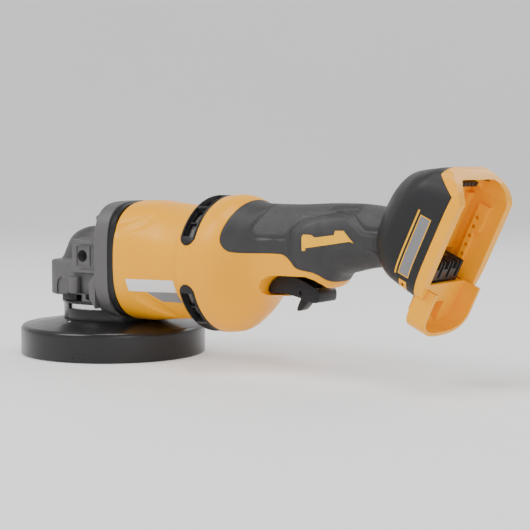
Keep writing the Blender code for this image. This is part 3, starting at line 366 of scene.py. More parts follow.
def helix_mesh(centre, radius, wire, bottom, top, turns, sides=4, per_turn=9):
    """A coil spring whose wire ends are capped."""
    rings = []
    steps = int(turns * per_turn)
    for i in range(steps + 1):
        angle = 2 * math.pi * i / per_turn
        z = bottom + wire + (top - bottom - 2 * wire) * i / steps
        out = Vector((math.cos(angle), math.sin(angle), 0))
        middle = Vector(centre).to_3d() + out * radius
        middle.z = z
        ring = []
        for k in range(sides):
            turn = 2 * math.pi * k / sides
            ring.append(middle + out * wire * math.cos(turn) + Vector((0, 0, wire * math.sin(turn))))
        rings.append(ring)
    return grid_mesh(rings, wrap=False)


def smooth_rows(rows, step):
    """Rows of numbers keyed by their first column, with more rows between them on a curve that never overshoots."""
    keys = [row[0] for row in rows]
    slopes = [[(b[c] - a[c]) / (b[0] - a[0]) for c in range(len(a))] for a, b in zip(rows, rows[1:])]
    tangents = [slopes[0]]
    for left, right in zip(slopes, slopes[1:]):
        tangents.append([2 * p * q / (p + q) if p * q > 0 else 0.0 for p, q in zip(left, right)])
    tangents.append(slopes[-1])
    made = []
    for index, (a, b) in enumerate(zip(rows, rows[1:])):
        gap = keys[index + 1] - keys[index]
        pieces = max(1, round(gap / step))
        for piece in range(pieces):
            t = piece / pieces
            h = ((1 + 2 * t) * (1 - t) ** 2, t * (1 - t) ** 2 * gap, t * t * (3 - 2 * t), t * t * (t - 1) * gap)
            made.append([
                h[0] * p + h[1] * m + h[2] * q + h[3] * n
                for p, m, q, n in zip(a, tangents[index], b, tangents[index + 1])
            ])
    made.append(list(rows[-1]))
    return made


def put(name, bm):
    bmesh.ops.scale(bm, vec=(MM, MM, MM), verts=bm.verts)
    bmesh.ops.recalc_face_normals(bm, faces=bm.faces)
    mesh = bpy.data.meshes.new(name)
    bm.to_mesh(mesh)
    bm.free()
    obj = bpy.data.objects.new(name, mesh)
    bpy.context.scene.collection.objects.link(obj)
    return obj


def helper(owner, other, operation):
    """Adds a Boolean with a mesh, or with an object that has Booleans of its own."""
    tag = f"{owner.name}_{operation.lower()}_{len(owner.modifiers)}"
    if not isinstance(other, bpy.types.Object):
        other = put(tag, other)
    other.hide_render = True
    CUTTERS.append(other)
    step = owner.modifiers.new(tag, "BOOLEAN")
    step.operation = operation
    step.solver = "EXACT"
    step.object = other
    return owner


def cut(owner, *others):
    for other in others:
        helper(owner, other, "DIFFERENCE")
    return owner


def join(owner, *others):
    for other in others:
        helper(owner, other, "UNION")
    return owner


def keep(owner, other):
    return helper(owner, other, "INTERSECT")


def settle(obj, round_off=0.0, segments=2, smooth=34.0):
    """Rounds the sharp edges, applies every modifier and removes all Boolean helpers made so far."""
    if round_off:
        edge = obj.modifiers.new("rounded", "BEVEL")
        edge.width = round_off * MM
        edge.segments = segments
        edge.limit_method = "ANGLE"
        edge.angle_limit = math.radians(32)
        edge.use_clamp_overlap = True
    bpy.context.view_layer.update()
    graph = bpy.context.evaluated_depsgraph_get()
    mesh = bpy.data.meshes.new_from_object(obj.evaluated_get(graph))
    obj.modifiers.clear()
    obj.data = mesh
    while CUTTERS:
        bpy.data.objects.remove(CUTTERS.pop(), do_unlink=True)
    mesh.shade_smooth()
    mesh.set_sharp_from_angle(angle=math.radians(smooth))
    return obj


def piece(obj, body, slot_name, material, *nodes):
    obj.data.materials.clear()
    obj.data.materials.append(material)
    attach(obj, body)
    if nodes:
        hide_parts(*nodes)
    return obj


def side_name(sign):
    return "right" if sign > 0 else "left"


def between(sign, near, far):
    """The range of y between two distances from the middle plane, on one side of it."""
    return sorted((sign * near, sign * far))


def half_space(sign, reach=400.0):
    low, high = between(sign, GAP / 2, reach)
    return box_mesh((-reach, low, -reach), (reach, high, reach))


def inside(points, outline):
    """Which of the (a, b) points lie inside the outline."""
    a, b = points[:, 0], points[:, 1]
    found = np.zeros(len(points), bool)
    for (x0, y0), (x1, y1) in zip(outline, outline[1:] + outline[:1]):
        crosses = (y0 > b) != (y1 > b)
        with np.errstate(divide="ignore", invalid="ignore"):
            at = x0 + (b - y0) * (x1 - x0) / ((y1 - y0) or 1e-12)
        found ^= crosses & (a < at)
    return found


def distance_to(points, line, closed=False):
    ends = line[1:] + line[:1] if closed else line[1:]
    nearest = np.full(len(points), 1e9)
    for start, end in zip(line, ends):
        start, along = np.array(start), np.array(end) - np.array(start)
        t = np.clip((points - start) @ along / (along @ along), 0, 1)
        nearest = np.minimum(nearest, np.linalg.norm(points - start - t[:, None] * along, axis=1))
    return nearest


# ---------------------------------------------------------------- materials


def node_tools(name):
    material = bpy.data.materials.new(name)
    material.use_nodes = True
    tree = material.node_tree
    shader = tree.nodes["Principled BSDF"]

    def add(kind, **values):
        node = tree.nodes.new(kind)
        for key, value in values.items():
            setattr(node, key, value)
        return node

    return material, tree, shader, add


def noise(tree, add, coords, scale, detail=3.0, rough=0.55):
    node = add("ShaderNodeTexNoise")
    node.inputs["Scale"].default_value = scale
    node.inputs["Detail"].default_value = detail
    node.inputs["Roughness"].default_value = rough
    tree.links.new(coords, node.inputs["Vector"])
    return node.outputs["Fac"]


def ramp(tree, add, value, low, high):
    """Maps the middle of a noise to a range of numbers."""
    node = add("ShaderNodeMapRange")
    node.inputs["From Min"].default_value = 0.3
    node.inputs["From Max"].default_value = 0.7
    node.inputs["To Min"].default_value = low
    node.inputs["To Max"].default_value = high
    tree.links.new(value, node.inputs["Value"])
    return node.outputs["Result"]


def blend_colours(tree, add, factor, first, second):
    node = add("ShaderNodeMix", data_type="RGBA")
    tree.links.new(factor, node.inputs["Factor"])
    for socket, colour in zip(("A", "B"), (first, second)):
        target = [item for item in node.inputs if item.name == socket and item.type == "RGBA"][0]
        if isinstance(colour, tuple):
            target.default_value = (*colour, 1.0)
        else:
            tree.links.new(colour, target)
    return [item for item in node.outputs if item.type == "RGBA"][0]


def finish_bumps(tree, add, shader, heights):
    """Chains (height output, depth in metres) pairs into the shader's normal."""
    before = None
    for height, depth in heights:
        bump = add("ShaderNodeBump")
        bump.inputs["Distance"].default_value = depth
        bump.inputs["Strength"].default_value = 1.0
        tree.links.new(height, bump.inputs["Height"])
        if before:
            tree.links.new(before, bump.inputs["Normal"])
        before = bump.outputs["Normal"]
    tree.links.new(before, shader.inputs["Normal"])


def moulded(name, first, second, rough, grain=2600.0, depth=0.00002, cloud=14.0, metallic=0.0, coat=0.0, wear=None):
    """Moulded, cast or painted material: slow colour drift, fine grain, and roughness that varies."""
    material, tree, shader, add = node_tools(name)
    coords = add("ShaderNodeTexCoord").outputs["Object"]
    drift = ramp(tree, add, noise(tree, add, coords, cloud, 4.0), 0.0, 1.0)
    colour = blend_colours(tree, add, drift, first, second)
    if wear:
        edge = add("ShaderNodeNewGeometry").outputs["Pointiness"]
        sharp = add("ShaderNodeMapRange")
        sharp.inputs["From Min"].default_value = 0.53
        sharp.inputs["From Max"].default_value = 0.62
        sharp.inputs["To Max"].default_value = 0.6
        tree.links.new(edge, sharp.inputs["Value"])
        colour = blend_colours(tree, add, sharp.outputs["Result"], colour, wear)
    tree.links.new(colour, shader.inputs["Base Color"])
    patches = noise(tree, add, coords, 55.0, 5.0, 0.65)
    tree.links.new(ramp(tree, add, patches, rough[0], rough[1]), shader.inputs["Roughness"])
    shader.inputs["Metallic"].default_value = metallic
    shader.inputs["Specular IOR Level"].default_value = 0.24
    shader.inputs["Coat Weight"].default_value = coat
    shader.inputs["Coat Roughness"].default_value = 0.12
    fine = noise(tree, add, coords, grain, 2.0)
    broad = noise(tree, add, coords, 130.0, 2.0)
    finish_bumps(tree, add, shader, ((broad, depth * 2.0), (fine, depth)))
    return material


def grip_rubber(name):
    """Soft rubber whose marked patches carry a coarse stipple."""
    material, tree, shader, add = node_tools(name)
    coords = add("ShaderNodeTexCoord").outputs["Object"]
    drift = ramp(tree, add, noise(tree, add, coords, 22.0, 4.0), 0.0, 1.0)
    mark = add("ShaderNodeAttribute", attribute_name="stipple").outputs["Fac"]
    plain = blend_colours(tree, add, drift, (0.020, 0.020, 0.0215), (0.029, 0.029, 0.031))
    tree.links.new(blend_colours(tree, add, mark, plain, (0.040, 0.040, 0.042)), shader.inputs["Base Color"])
    patches = noise(tree, add, coords, 60.0, 5.0, 0.65)
    tree.links.new(ramp(tree, add, patches, 0.44, 0.60), shader.inputs["Roughness"])
    cells = add("ShaderNodeTexVoronoi")
    cells.inputs["Scale"].default_value = 1150.0
    tree.links.new(coords, cells.inputs["Vector"])
    times = add("ShaderNodeMath", operation="MULTIPLY")
    tree.links.new(cells.outputs["Distance"], times.inputs[0])
    tree.links.new(mark, times.inputs[1])
    fine = noise(tree, add, coords, 3200.0, 2.0)
    finish_bumps(tree, add, shader, ((fine, 0.00002), (times.outputs["Value"], 0.0003)))
    return material


def woven_screen(name):
    """Wire mesh wrapped round the motor's axis; the holes between the wires are not cut but painted near black, as
    painted shade of the motor's inside.
    """
    material, tree, shader, add = node_tools(name)
    split = add("ShaderNodeSeparateXYZ")
    tree.links.new(add("ShaderNodeTexCoord").outputs["Object"], split.inputs["Vector"])

    def maths(operation, first, second=None):
        node = add("ShaderNodeMath", operation=operation)
        for socket, value in zip(node.inputs, (first, second)):
            if value is None:
                continue
            if isinstance(value, float):
                socket.default_value = value
            else:
                tree.links.new(value, socket)
        return node.outputs["Value"]

    height = maths("SUBTRACT", split.outputs["Z"], MOTOR_Z * MM)
    screen_radius, wire_pitch = 0.0432, 0.0011
    per_turn = screen_radius * 2 * math.pi / wire_pitch
    turn = maths("MULTIPLY", maths("ARCTAN2", height, split.outputs["Y"]), per_turn)
    along = maths("MULTIPLY", split.outputs["X"], 2 * math.pi / wire_pitch)
    wires = maths("MAXIMUM", maths("SINE", turn), maths("SINE", along))
    wire = add("ShaderNodeMapRange")
    wire.inputs["From Min"].default_value = 0.35
    wire.inputs["From Max"].default_value = 0.75
    tree.links.new(wires, wire.inputs["Value"])
    # Painted shade: the near-black colour between the wires stands in for the shade seen through the screen's holes.
    colour = blend_colours(tree, add, wire.outputs["Result"], (0.05, 0.045, 0.04), (0.46, 0.43, 0.40))
    tree.links.new(colour, shader.inputs["Base Color"])
    shader.inputs["Roughness"].default_value = 0.42
    shader.inputs["Metallic"].default_value = 0.3
    finish_bumps(tree, add, shader, ((wire.outputs["Result"], 0.00025),))
    return material


def turned_metal(name, first, second, rough):
    """Machined metal with fine tool lines across the part's height."""
    material, tree, shader, add = node_tools(name)
    coords = add("ShaderNodeTexCoord").outputs["Object"]
    stretch = add("ShaderNodeMapping")
    stretch.inputs["Scale"].default_value = (0.06, 0.06, 1.0)
    tree.links.new(coords, stretch.inputs["Vector"])
    marks = noise(tree, add, stretch.outputs["Vector"], 3600.0, 4.0, 0.7)
    colour = blend_colours(tree, add, ramp(tree, add, marks, 0.0, 1.0), first, second)
    tree.links.new(colour, shader.inputs["Base Color"])
    shader.inputs["Metallic"].default_value = 1.0
    spots = noise(tree, add, coords, 120.0, 5.0)
    tree.links.new(ramp(tree, add, spots, rough[0], rough[1]), shader.inputs["Roughness"])
    finish_bumps(tree, add, shader, ((marks, 0.00001),))
    return material


YELLOW = moulded("yellow_nylon", (1.0, 0.435, 0.0), (0.97, 0.40, 0.0), (0.30, 0.40), 1900.0, 0.000012)
LABEL_YELLOW = moulded("yellow_print", (1.0, 0.50, 0.01), (0.97, 0.46, 0.01), (0.35, 0.45), 2400.0, 0.00001)
RUBBER = grip_rubber("grip_rubber")
BLACK = moulded("black_nylon", (0.012, 0.012, 0.013), (0.018, 0.018, 0.019), (0.28, 0.42), 1700.0, 0.00002)
COVER_BLACK = moulded("black_cover", (0.017, 0.017, 0.018), (0.024, 0.024, 0.026), (0.36, 0.50), 1500.0, 0.00003)
GUARD_PAINT = moulded(
    "guard_paint", (0.010, 0.010, 0.011), (0.016, 0.016, 0.017), (0.26, 0.36), 900.0, 0.000015,
    metallic=0.1, coat=0.3,
)
CAST = moulded(
    "cast_case", (0.075, 0.073, 0.074), (0.095, 0.092, 0.093), (0.42, 0.55), 1300.0, 0.00006,
    metallic=0.45, wear=(0.17, 0.165, 0.165),
)
SILVER = turned_metal("machined_ring", (0.62, 0.62, 0.63), (0.74, 0.74, 0.75), (0.22, 0.34))
STEEL = turned_metal("bright_steel", (0.42, 0.42, 0.43), (0.52, 0.52, 0.53), (0.26, 0.38))
DARK_STEEL = turned_metal("dark_steel", (0.075, 0.075, 0.08), (0.12, 0.12, 0.125), (0.32, 0.46))
COPPER = moulded("copper_winding", (0.55, 0.24, 0.11), (0.66, 0.32, 0.16), (0.30, 0.45), 1500.0, 0.00008, metallic=1.0)
BRASS = moulded("brass_contact", (0.62, 0.46, 0.18), (0.70, 0.54, 0.24), (0.25, 0.38), 1500.0, 0.00002, metallic=1.0)
GREY = moulded("grey_print", (0.20, 0.20, 0.21), (0.235, 0.235, 0.24), (0.35, 0.5), 2200.0, 0.00001)
WHITE = moulded("white_print", (0.80, 0.80, 0.80), (0.74, 0.74, 0.74), (0.35, 0.5), 2200.0, 0.00001)
GREEN = moulded("board_green", (0.02, 0.12, 0.05), (0.03, 0.16, 0.07), (0.4, 0.55), 1500.0, 0.00002)
SCREEN = woven_screen("woven_screen")

# The looks of the CAD nodes that no finer piece replaces
CARRIED_OVER = (
    (SILVER, ("spindle_retainer",)),
    (
        STEEL,
        (
            *(f"retainer_screw_{index}" for index in range(1, 5)),
            "lower_spindle_bearing", "upper_spindle_bearing", "front_rotor_bearing", "rear_rotor_bearing",
            "spindle", "crown_gear", "drive_pinion", "rotor_shaft", "spindle_lock_pin",
        ),
    ),
    (DARK_STEEL, ("inner_flange", "lock_nut", "rotor_core", "handle_screw_1", "handle_screw_2", "handle_screw_3")),
    (COPPER, ("stator",)),
    (BLACK, ("cooling_fan", "motor_end_plate", "switch_body", "paddle_pin", "lock_off_pin")),
    (BRASS, ("terminal_contacts",)),
    (GREEN, ("control_module",)),
)


def dress_cad_nodes():
    for material, names in CARRIED_OVER:
        for name in names:
            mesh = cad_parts[name].data
            mesh.materials.clear()
            mesh.materials.append(material)


# ---------------------------------------------------------------- gear head


def head_outline(front, half, power, back=20.0, count=44):
    centre = -6.0
    points = [(back, half), (6.0, half)]
    for i in range(count + 1):
        angle = math.radians(90 + 180 * i / count)
        c, s = math.cos(angle), math.sin(angle)
        x = centre - abs(c) ** (2 / power) * (centre - front)
        y = math.copysign(abs(s) ** (2 / power), s) * half
        points.append((x, y))
    points += [(6.0, -half), (back, -half)]
    return points


def collar_clearance_mesh():
    profile = [(0.0, 10.0), (COLLAR_OUTER + 0.6, 10.0), (COLLAR_OUTER + 0.6, 34.0)]
    profile += [(COLLAR_LIP + 0.6, 34.2), (COLLAR_LIP + 0.6, COLLAR_Z[1] + 0.4), (0.0, COLLAR_Z[1] + 0.4)]
    return turned_mesh(profile, segments=96, closed=False)


def guard_lever_spot(z):
    return (-10.0, -31.5, z)


def screw_head_mesh(centre, direction, radius, depth, socket=0.5):
    """A round screw head with a six-cornered socket, facing the given way."""
    centre, direction = Vector(centre), Vector(direction).normalized()
    profile = [(0.0, 0.0), (radius, 0.0), (radius, depth * 0.7), (radius * 0.86, depth), (radius * socket, depth)]
    profile += [(radius * socket * 0.92, depth * 0.35), (0.0, depth * 0.25)]
    bm = turned_mesh(profile, segments=36, closed=False)
    turn = Vector((0, 0, 1)).rotation_difference(direction).to_matrix().to_4x4()
    bmesh.ops.transform(bm, matrix=Matrix.Translation(centre) @ turn, verts=bm.verts)
    return bm


def add_side_boss(case, sign):
    """The block, its two lips and the corner fillet on one side of the gear case."""
    low, high = between(sign, 20.0, BOSS_FACE_Y)
    join(case, bevelled_box_mesh((BOSS_X[0], low, BOSS_Z[0]), (BOSS_X[1], high, BOSS_Z[1]), 1.0))
    low, high = between(sign, 20.0, BOSS_FACE_Y + 2.2)
    join(case, bevelled_box_mesh((-4.0, low, 80.2), (BOSS_X[1], high, 83.6), 1.2))
    join(case, bevelled_box_mesh((-4.0, low, 58.9), (BOSS_X[1], high, 61.9), 1.2))
    low, high = between(sign, 29.0, 41.0)
    join(case, prism_mesh(((12.0, 52.0), (18.5, 60.5), (18.5, 34.0), (12.8, 41.5)), "XZ", low, high))


def cut_side_boss(case, sign):
    """The handle socket, the plate's recesses, its mark and the arch below on one side of the gear case."""
    socket_x, socket_z = SIDE_SOCKET
    face = sign * (BOSS_FACE_Y + 4.0)
    for x in ((-7.5, 3.4), (5.6, 16.6)):
        low, high = between(sign, BOSS_FACE_Y - 1.0, BOSS_FACE_Y + 4.0)
        cut(case, bevelled_box_mesh((x[0], low, 64.0), (x[1], high, 79.0), 0.7))
    socket_end = (socket_x, sign * 17.0, socket_z)
    cut(case, rod_mesh((socket_x, face, socket_z), socket_end, SIDE_SOCKET_R, 48))
    cut(case, rod_mesh((11.2, face, socket_z), (11.2, sign * 24.0, socket_z), 1.7, 24))
    for turn in (90, 210, 330):
        bm = box_mesh((-0.7, -6.0, 0.0), (0.7, 6.0, 3.4))
        spin = Matrix.Rotation(math.radians(turn), 4, "Y")
        place = Matrix.Translation((11.2, sign * (BOSS_FACE_Y - 0.5), socket_z))
        bmesh.ops.transform(bm, matrix=place @ spin, verts=bm.verts)
        cut(case, bm)
    low, high = between(sign, 28.2, 40.0)
    arch = [(-31.0, 40.0), (-31.0, 49.0), (-29.6, 53.0), (-26.5, 54.6), (-23.4, 53.0), (-22.0, 49.0), (-22.0, 40.0)]
    cut(case, prism_mesh(arch, "XZ", low, high))


def gear_head():
    tiers = [
        (41.0, -40.6, 28.2, 6.5), (41.6, -41.7, 29.2, 7.0), (42.4, -42.0, 29.6, 7.0), (66.0, -42.0, 29.6, 7.0),
        (67.0, -41.6, 29.2, 7.0), (67.5, -40.8, 28.6, 6.5),
    ]
    dome = [
        (67.9, -38.9, 27.9, 3.2), (70.5, -38.3, 27.7, 2.7), (74.0, -37.4, 27.2, 2.5), (78.0, -35.8, 26.5, 2.4),
        (82.0, -34.2, 25.7, 2.3), (86.0, -31.0, 24.4, 2.2), (89.0, -26.6, 22.6, 2.1), (91.4, -20.6, 20.2, 2.0),
        (92.7, -15.2, 17.6, 2.0), (93.0, -13.0, 16.0, 2.0),
    ]
    levels = tiers + smooth_rows(dome, 0.9)
    rings = [[(x, y, row[0]) for x, y in head_outline(row[1], row[2], row[3])] for row in levels]
    case = put("gear_head_casting", grid_mesh(rings, wrap=False))
    flange = []
    for x, inset in ((FLANGE_X[0], 2.0), (FLANGE_X[0] + 0.6, 0.9), (FLANGE_X[0] + 1.7, 0.0), (FLANGE_X[1], 0.0)):
        outline = superellipse(FLANGE_HALF[0] - inset, FLANGE_HALF[1] - inset, 3.7, 120)
        flange.append([(x, y, MOTOR_Z + z) for y, z in outline])
    join(case, grid_mesh(flange, wrap=False))
    join(case, rod_mesh((0, 0, 38.3), (0, 0, 43.5), 36.8, 96))
    for sign in (-1, 1):
        add_side_boss(case, sign)
    join(case, rod_mesh(guard_lever_spot(43.3), guard_lever_spot(56.0), 4.6, 48))
    cut(
        case,
        collar_clearance_mesh(),
        box_mesh((FLANGE_X[1], -60.0, 0.0), (60.0, 60.0, 130.0)),
        rod_mesh((0, 0, 30.0), (0, 0, 67.5), 25.5, 64),
        rod_mesh((0, 0, 60.0), (0, 0, 81.5), 8.9, 32),
        rod_mesh((11.5, 0, MOTOR_Z), (40.0, 0, MOTOR_Z), 9.6, 40),
        rod_mesh((24.6, 0, MOTOR_Z), (40.0, 0, MOTOR_Z), 13.4, 48),
    )
    lock_x, lock_y = LOCK_XY
    cut(
        case,
        rod_mesh((lock_x, lock_y, 60.0), (lock_x, lock_y, 110.0), LOCK_PIN_R + 0.4, 32),
        rod_mesh((lock_x, lock_y, 80.0), (lock_x, lock_y, 110.0), 5.3, 32),
        rod_mesh((lock_x, lock_y, 87.2), (lock_x, lock_y, 110.0), 7.5, 48),
    )
    for sign in (-1, 1):
        cut_side_boss(case, sign)
    for y, z in CASE_SCREW_SPOTS:
        cut(case, rod_mesh((10.0, y, z), (40.0, y, z), 1.9, 16))
        cut(case, rod_mesh((5.0, y, z), (16.9, y, z), 3.3, 32))
    cut(
        case,
        rod_mesh(guard_lever_spot(30.0), guard_lever_spot(52.0), 1.9, 20),
        rod_mesh(guard_lever_spot(30.0), guard_lever_spot(43.2), 6.8, 48),
        box_mesh((-22.0, -60.0, 30.0), (2.0, -32.6, 43.2)),
    )
    piece(settle(case, 0.45), "housing", "cast_case", CAST, "gear_case")
    case_screws()


def case_screws():
    for index, (y, z) in enumerate(CASE_SCREW_SPOTS, 1):
        screw = put(f"flange_screw_{index}", screw_head_mesh((16.7, y, z), (-1, 0, 0), 2.9, 3.1))
        join(screw, rod_mesh((16.0, y, z), (50.0, y, z), 1.5, 20))
        piece(settle(screw), "housing", "blackened_steel", DARK_STEEL, f"case_screw_{index}")


def gasket():
    half_y, half_z = FLANGE_HALF
    front, back = FLANGE_X[1] + GAP, BARREL_X[0] - GAP
    rings = []
    for x, inset in ((front, 0.9), (front + 0.5, 0.5), (back - 0.5, 0.5), (back, 0.9)):
        outline = superellipse(half_y - inset, half_z - inset + 0.1, 3.4, 120)
        rings.append([(x, y, MOTOR_Z + z) for y, z in outline])
    for x in (back, front):
        rings.append([(x, y, MOTOR_Z + z) for y, z in superellipse(BARREL_BORE, BARREL_BORE, 2.0, 120)])
    band = put("sealing_gasket", grid_mesh(rings, wrap=True))
    cut(band, collar_clearance_mesh())
    piece(settle(band), "housing", "black_plastic", BLACK, "case_gasket")


# ---------------------------------------------------------------- guard


def guard():
    outer, inner, top = GUARD_RADIUS, GUARD_RADIUS - GUARD_WALL, GUARD_SKIRT_TOP
    profile = [(inner - 1.2, RIM_Z), (outer - 0.9, RIM_Z), (outer - 0.3, RIM_Z + 0.3), (outer, RIM_Z + 0.9)]
    profile += [(outer, top - 3.6)]
    for step in range(1, 8):
        angle = math.radians(78 * step / 7)
        profile.append((outer - 3.8 + 3.8 * math.cos(angle), top - 3.6 + 3.8 * math.sin(angle)))
    profile += [
        (COLLAR_OUTER + 1.6, COLLAR_Z[0] + 2.7),
        (COLLAR_OUTER + 0.4, COLLAR_Z[0] + 3.1),
        (COLLAR_OUTER + 0.4, COLLAR_Z[0] + 1.2),
        (outer - 4.0, top - 1.6),
        (inner, top - 4.0),
        (inner, RIM_Z + 2.0),
        (inner - 1.2, RIM_Z + 1.2),
    ]
    shell = put("guard_cowl", turned_mesh(profile, start=GUARD_START, sweep=GUARD_SWEEP, segments=160))
    piece(settle(shell, 0.25), "guard", "guard_paint", GUARD_PAINT, "guard_shell")
    band = [
        (COLLAR_INNER, COLLAR_Z[0]),
        (COLLAR_OUTER, COLLAR_Z[0]),
        (COLLAR_OUTER, 35.9),
        (COLLAR_LIP - 0.3, 36.1),
        (COLLAR_LIP, 36.4),
        (COLLAR_LIP, COLLAR_Z[1] - 0.4),
        (COLLAR_LIP - 0.4, COLLAR_Z[1]),
        (COLLAR_INNER, COLLAR_Z[1]),
    ]
    collar = put("guard_neck", turned_mesh(band, segments=144))
    window = [(30.0, 32.0), (45.0, 32.0), (45.0, 35.8), (30.0, 35.8)]
    cut(collar, turned_mesh(window, start=-112.0, sweep=74.0, segments=32))
    piece(settle(collar, 0.15), "guard", "guard_paint", GUARD_PAINT, "guard_collar")
    rivet = put("guard_rivet", screw_head_mesh((*RIVET_SPOT, 22.0), (0, 0, 1), 1.1, 1.3, 0.2))
    piece(settle(rivet), "guard", "steel", STEEL)


def guard_lever():
    foot = [
        (-19.5, -33.2), (-18.6, -36.6), (-12.5, -38.8), (-6.0, -39.0), (-3.6, -36.8),
        (-4.2, -33.0), (-5.0, -28.8), (-10.0, -26.2), (-15.0, -28.6), (-15.6, -32.8),
    ]
    lever = put("guard_release_lever", prism_mesh(foot, "XY", 38.6, 42.8))
    join(lever, rod_mesh(guard_lever_spot(40.0), guard_lever_spot(51.0), 1.6, 32))
    piece(settle(lever, 0.6, 3), "guard_release", "black_plastic", BLACK, "guard_lever")


def lock_button():
    x, y = LOCK_XY
    profile = [(0.0, 92.5), (7.0, 92.5), (7.0, 94.2), (6.7, 97.4), (6.3, 98.9), (5.6, 99.5), (4.0, 99.1), (0.0, 98.9)]
    button = put("spindle_lock_cap", turned_mesh(profile, segments=64, closed=False, centre=(x, y, 0)))
    cut(button, rod_mesh((x, y, 90.0), (x, y, 96.0), LOCK_PIN_R + GAP, 32))
    piece(settle(button), "spindle_lock", "black_plastic", BLACK, "spindle_lock_button")


# ---------------------------------------------------------------- motor


RIVET_SPOT = (-6.5, -41.5)
BARREL_ROWS = (
    (BARREL_X[0], 41.6, 43.2, 2.7),
    (37.8, 42.7, 44.0, 2.68),
    (39.5, 43.2, 44.3, 2.65),
    (50.0, 43.2, 44.2, 2.45),
    (65.0, 42.4, 42.8, 2.2),
    (80.0, 41.6, 41.7, 2.0),
    (90.0, 41.5, 41.5, 2.0),
    (95.5, 41.9, 41.9, 2.0),
    (98.5, 42.9, 42.9, 2.0),
    (BARREL_X[1], 45.0, 45.0, 2.0),
)
# Side view (x, z) of the two shallow slanted flats on the barrel
BARREL_FLATS = (((42.0, 92.0), (62.0, 99.5)), ((60.0, 45.0), (74.0, 34.0)))


def barrel_half(x, z, rows):
    """Half width of the barrel at a height."""
    row = min(rows, key=lambda r: abs(r[0] - x))
    return row[1] * max(0.0, 1 - abs((z - MOTOR_Z) / row[2]) ** row[3]) ** (1 / row[3])


def motor_barrel():
    rows = smooth_rows(BARREL_ROWS, 1.0)
    count = 220
    rings = []
    for x, a, b, power in rows:
        ring = []
        for y, z in superellipse(a, b, power, count):
            spot = np.array([(x, MOTOR_Z + z)])
            dent = 0.0
            if abs(y) < a - 0.5:
                for start, end in BARREL_FLATS:
                    away = distance_to(spot, (start, end))[0]
                    dent = max(dent, 1.3 * min(1.0, max(0.0, 5.2 - away) / 2.6))
            radius = math.hypot(y, z)
            ring.append((x, y * (1 - dent / radius), MOTOR_Z + z * (1 - dent / radius)))
        rings.append(ring)
    bore = [
        [(x, y, MOTOR_Z + z) for y, z in superellipse(BARREL_BORE, BARREL_BORE, 2.0, count)]
        for x in (BARREL_X[1], BARREL_X[0])
    ]
    shell = put("motor_barrel", grid_mesh(rings + bore, wrap=True))
    cut(shell, collar_clearance_mesh())
    piece(settle(shell), "housing", "yellow_plastic", YELLOW, "motor_housing")
    labels = (("barrel_label_white", LABEL_WHITE, WHITE), ("barrel_label_grey", LABEL_GREY, GREY))
    for name, outline, material in labels:
        for sign in (-1, 1):
            plate = (outline, lambda x, z: sign * barrel_half(x, z, rows), sign)
            label = skin_patch(f"{name}_{side_name(sign)}", *plate)
            piece(label, "housing", "badge_grey", material)


def skin_patch(name, outline, surface, sign, lift=0.16, cell=0.7, thick=0.22):
    """A thin sheet with the given side view that lies on a surface y(x, z)."""
    xs, zs = [p[0] for p in outline], [p[1] for p in outline]
    bm = bmesh.new()
    face = bm.faces.new([bm.verts.new((x, 0, z)) for x, z in outline])
    for axis, low, high in (("x", min(xs), max(xs)), ("z", min(zs), max(zs))):
        at = low + cell
        while at < high - cell / 2:
            spot, normal = ((at, 0, 0), (1, 0, 0)) if axis == "x" else ((0, 0, at), (0, 0, 1))
            bmesh.ops.bisect_plane(bm, geom=bm.verts[:] + bm.edges[:] + bm.faces[:], plane_co=spot, plane_no=normal)
            at += cell
    back = [(vert, vert.co.x, vert.co.z) for vert in bm.verts]
    made = bmesh.ops.extrude_face_region(bm, geom=bm.faces[:])
    front = [item for item in made["geom"] if isinstance(item, bmesh.types.BMVert)]
    for vert in front:
        vert.co.y = surface(vert.co.x, vert.co.z) + sign * lift
    for vert, x, z in back:
        vert.co.y = surface(x, z) + sign * (lift - thick)
    return settle(put(name, bm), 0.0, smooth=50)


def round_ended_band(profile, start, sweep, steps=96):
    """Sweeps (radius, x) points round the motor's axis, drawing them together at both ends."""
    middle, radius = sum(VENT_X) / 2, VENT_R[1]
    half = (VENT_X[1] - VENT_X[0]) / 2
    rings = []
    for step in range(steps + 1):
        share = (1 - math.cos(math.pi * step / steps)) / 2
        turn = math.radians(start + sweep * share)
        away = min(share, 1 - share) * math.radians(sweep) * radius
        narrow = max(0.3, math.sqrt(1 - (1 - min(1.0, away / half)) ** 2))
        c, s = math.cos(turn), math.sin(turn)
        rings.append([(middle + (x - middle) * narrow, r * c, MOTOR_Z + r * s) for r, x in profile])
    return grid_mesh(rings, wrap=False)


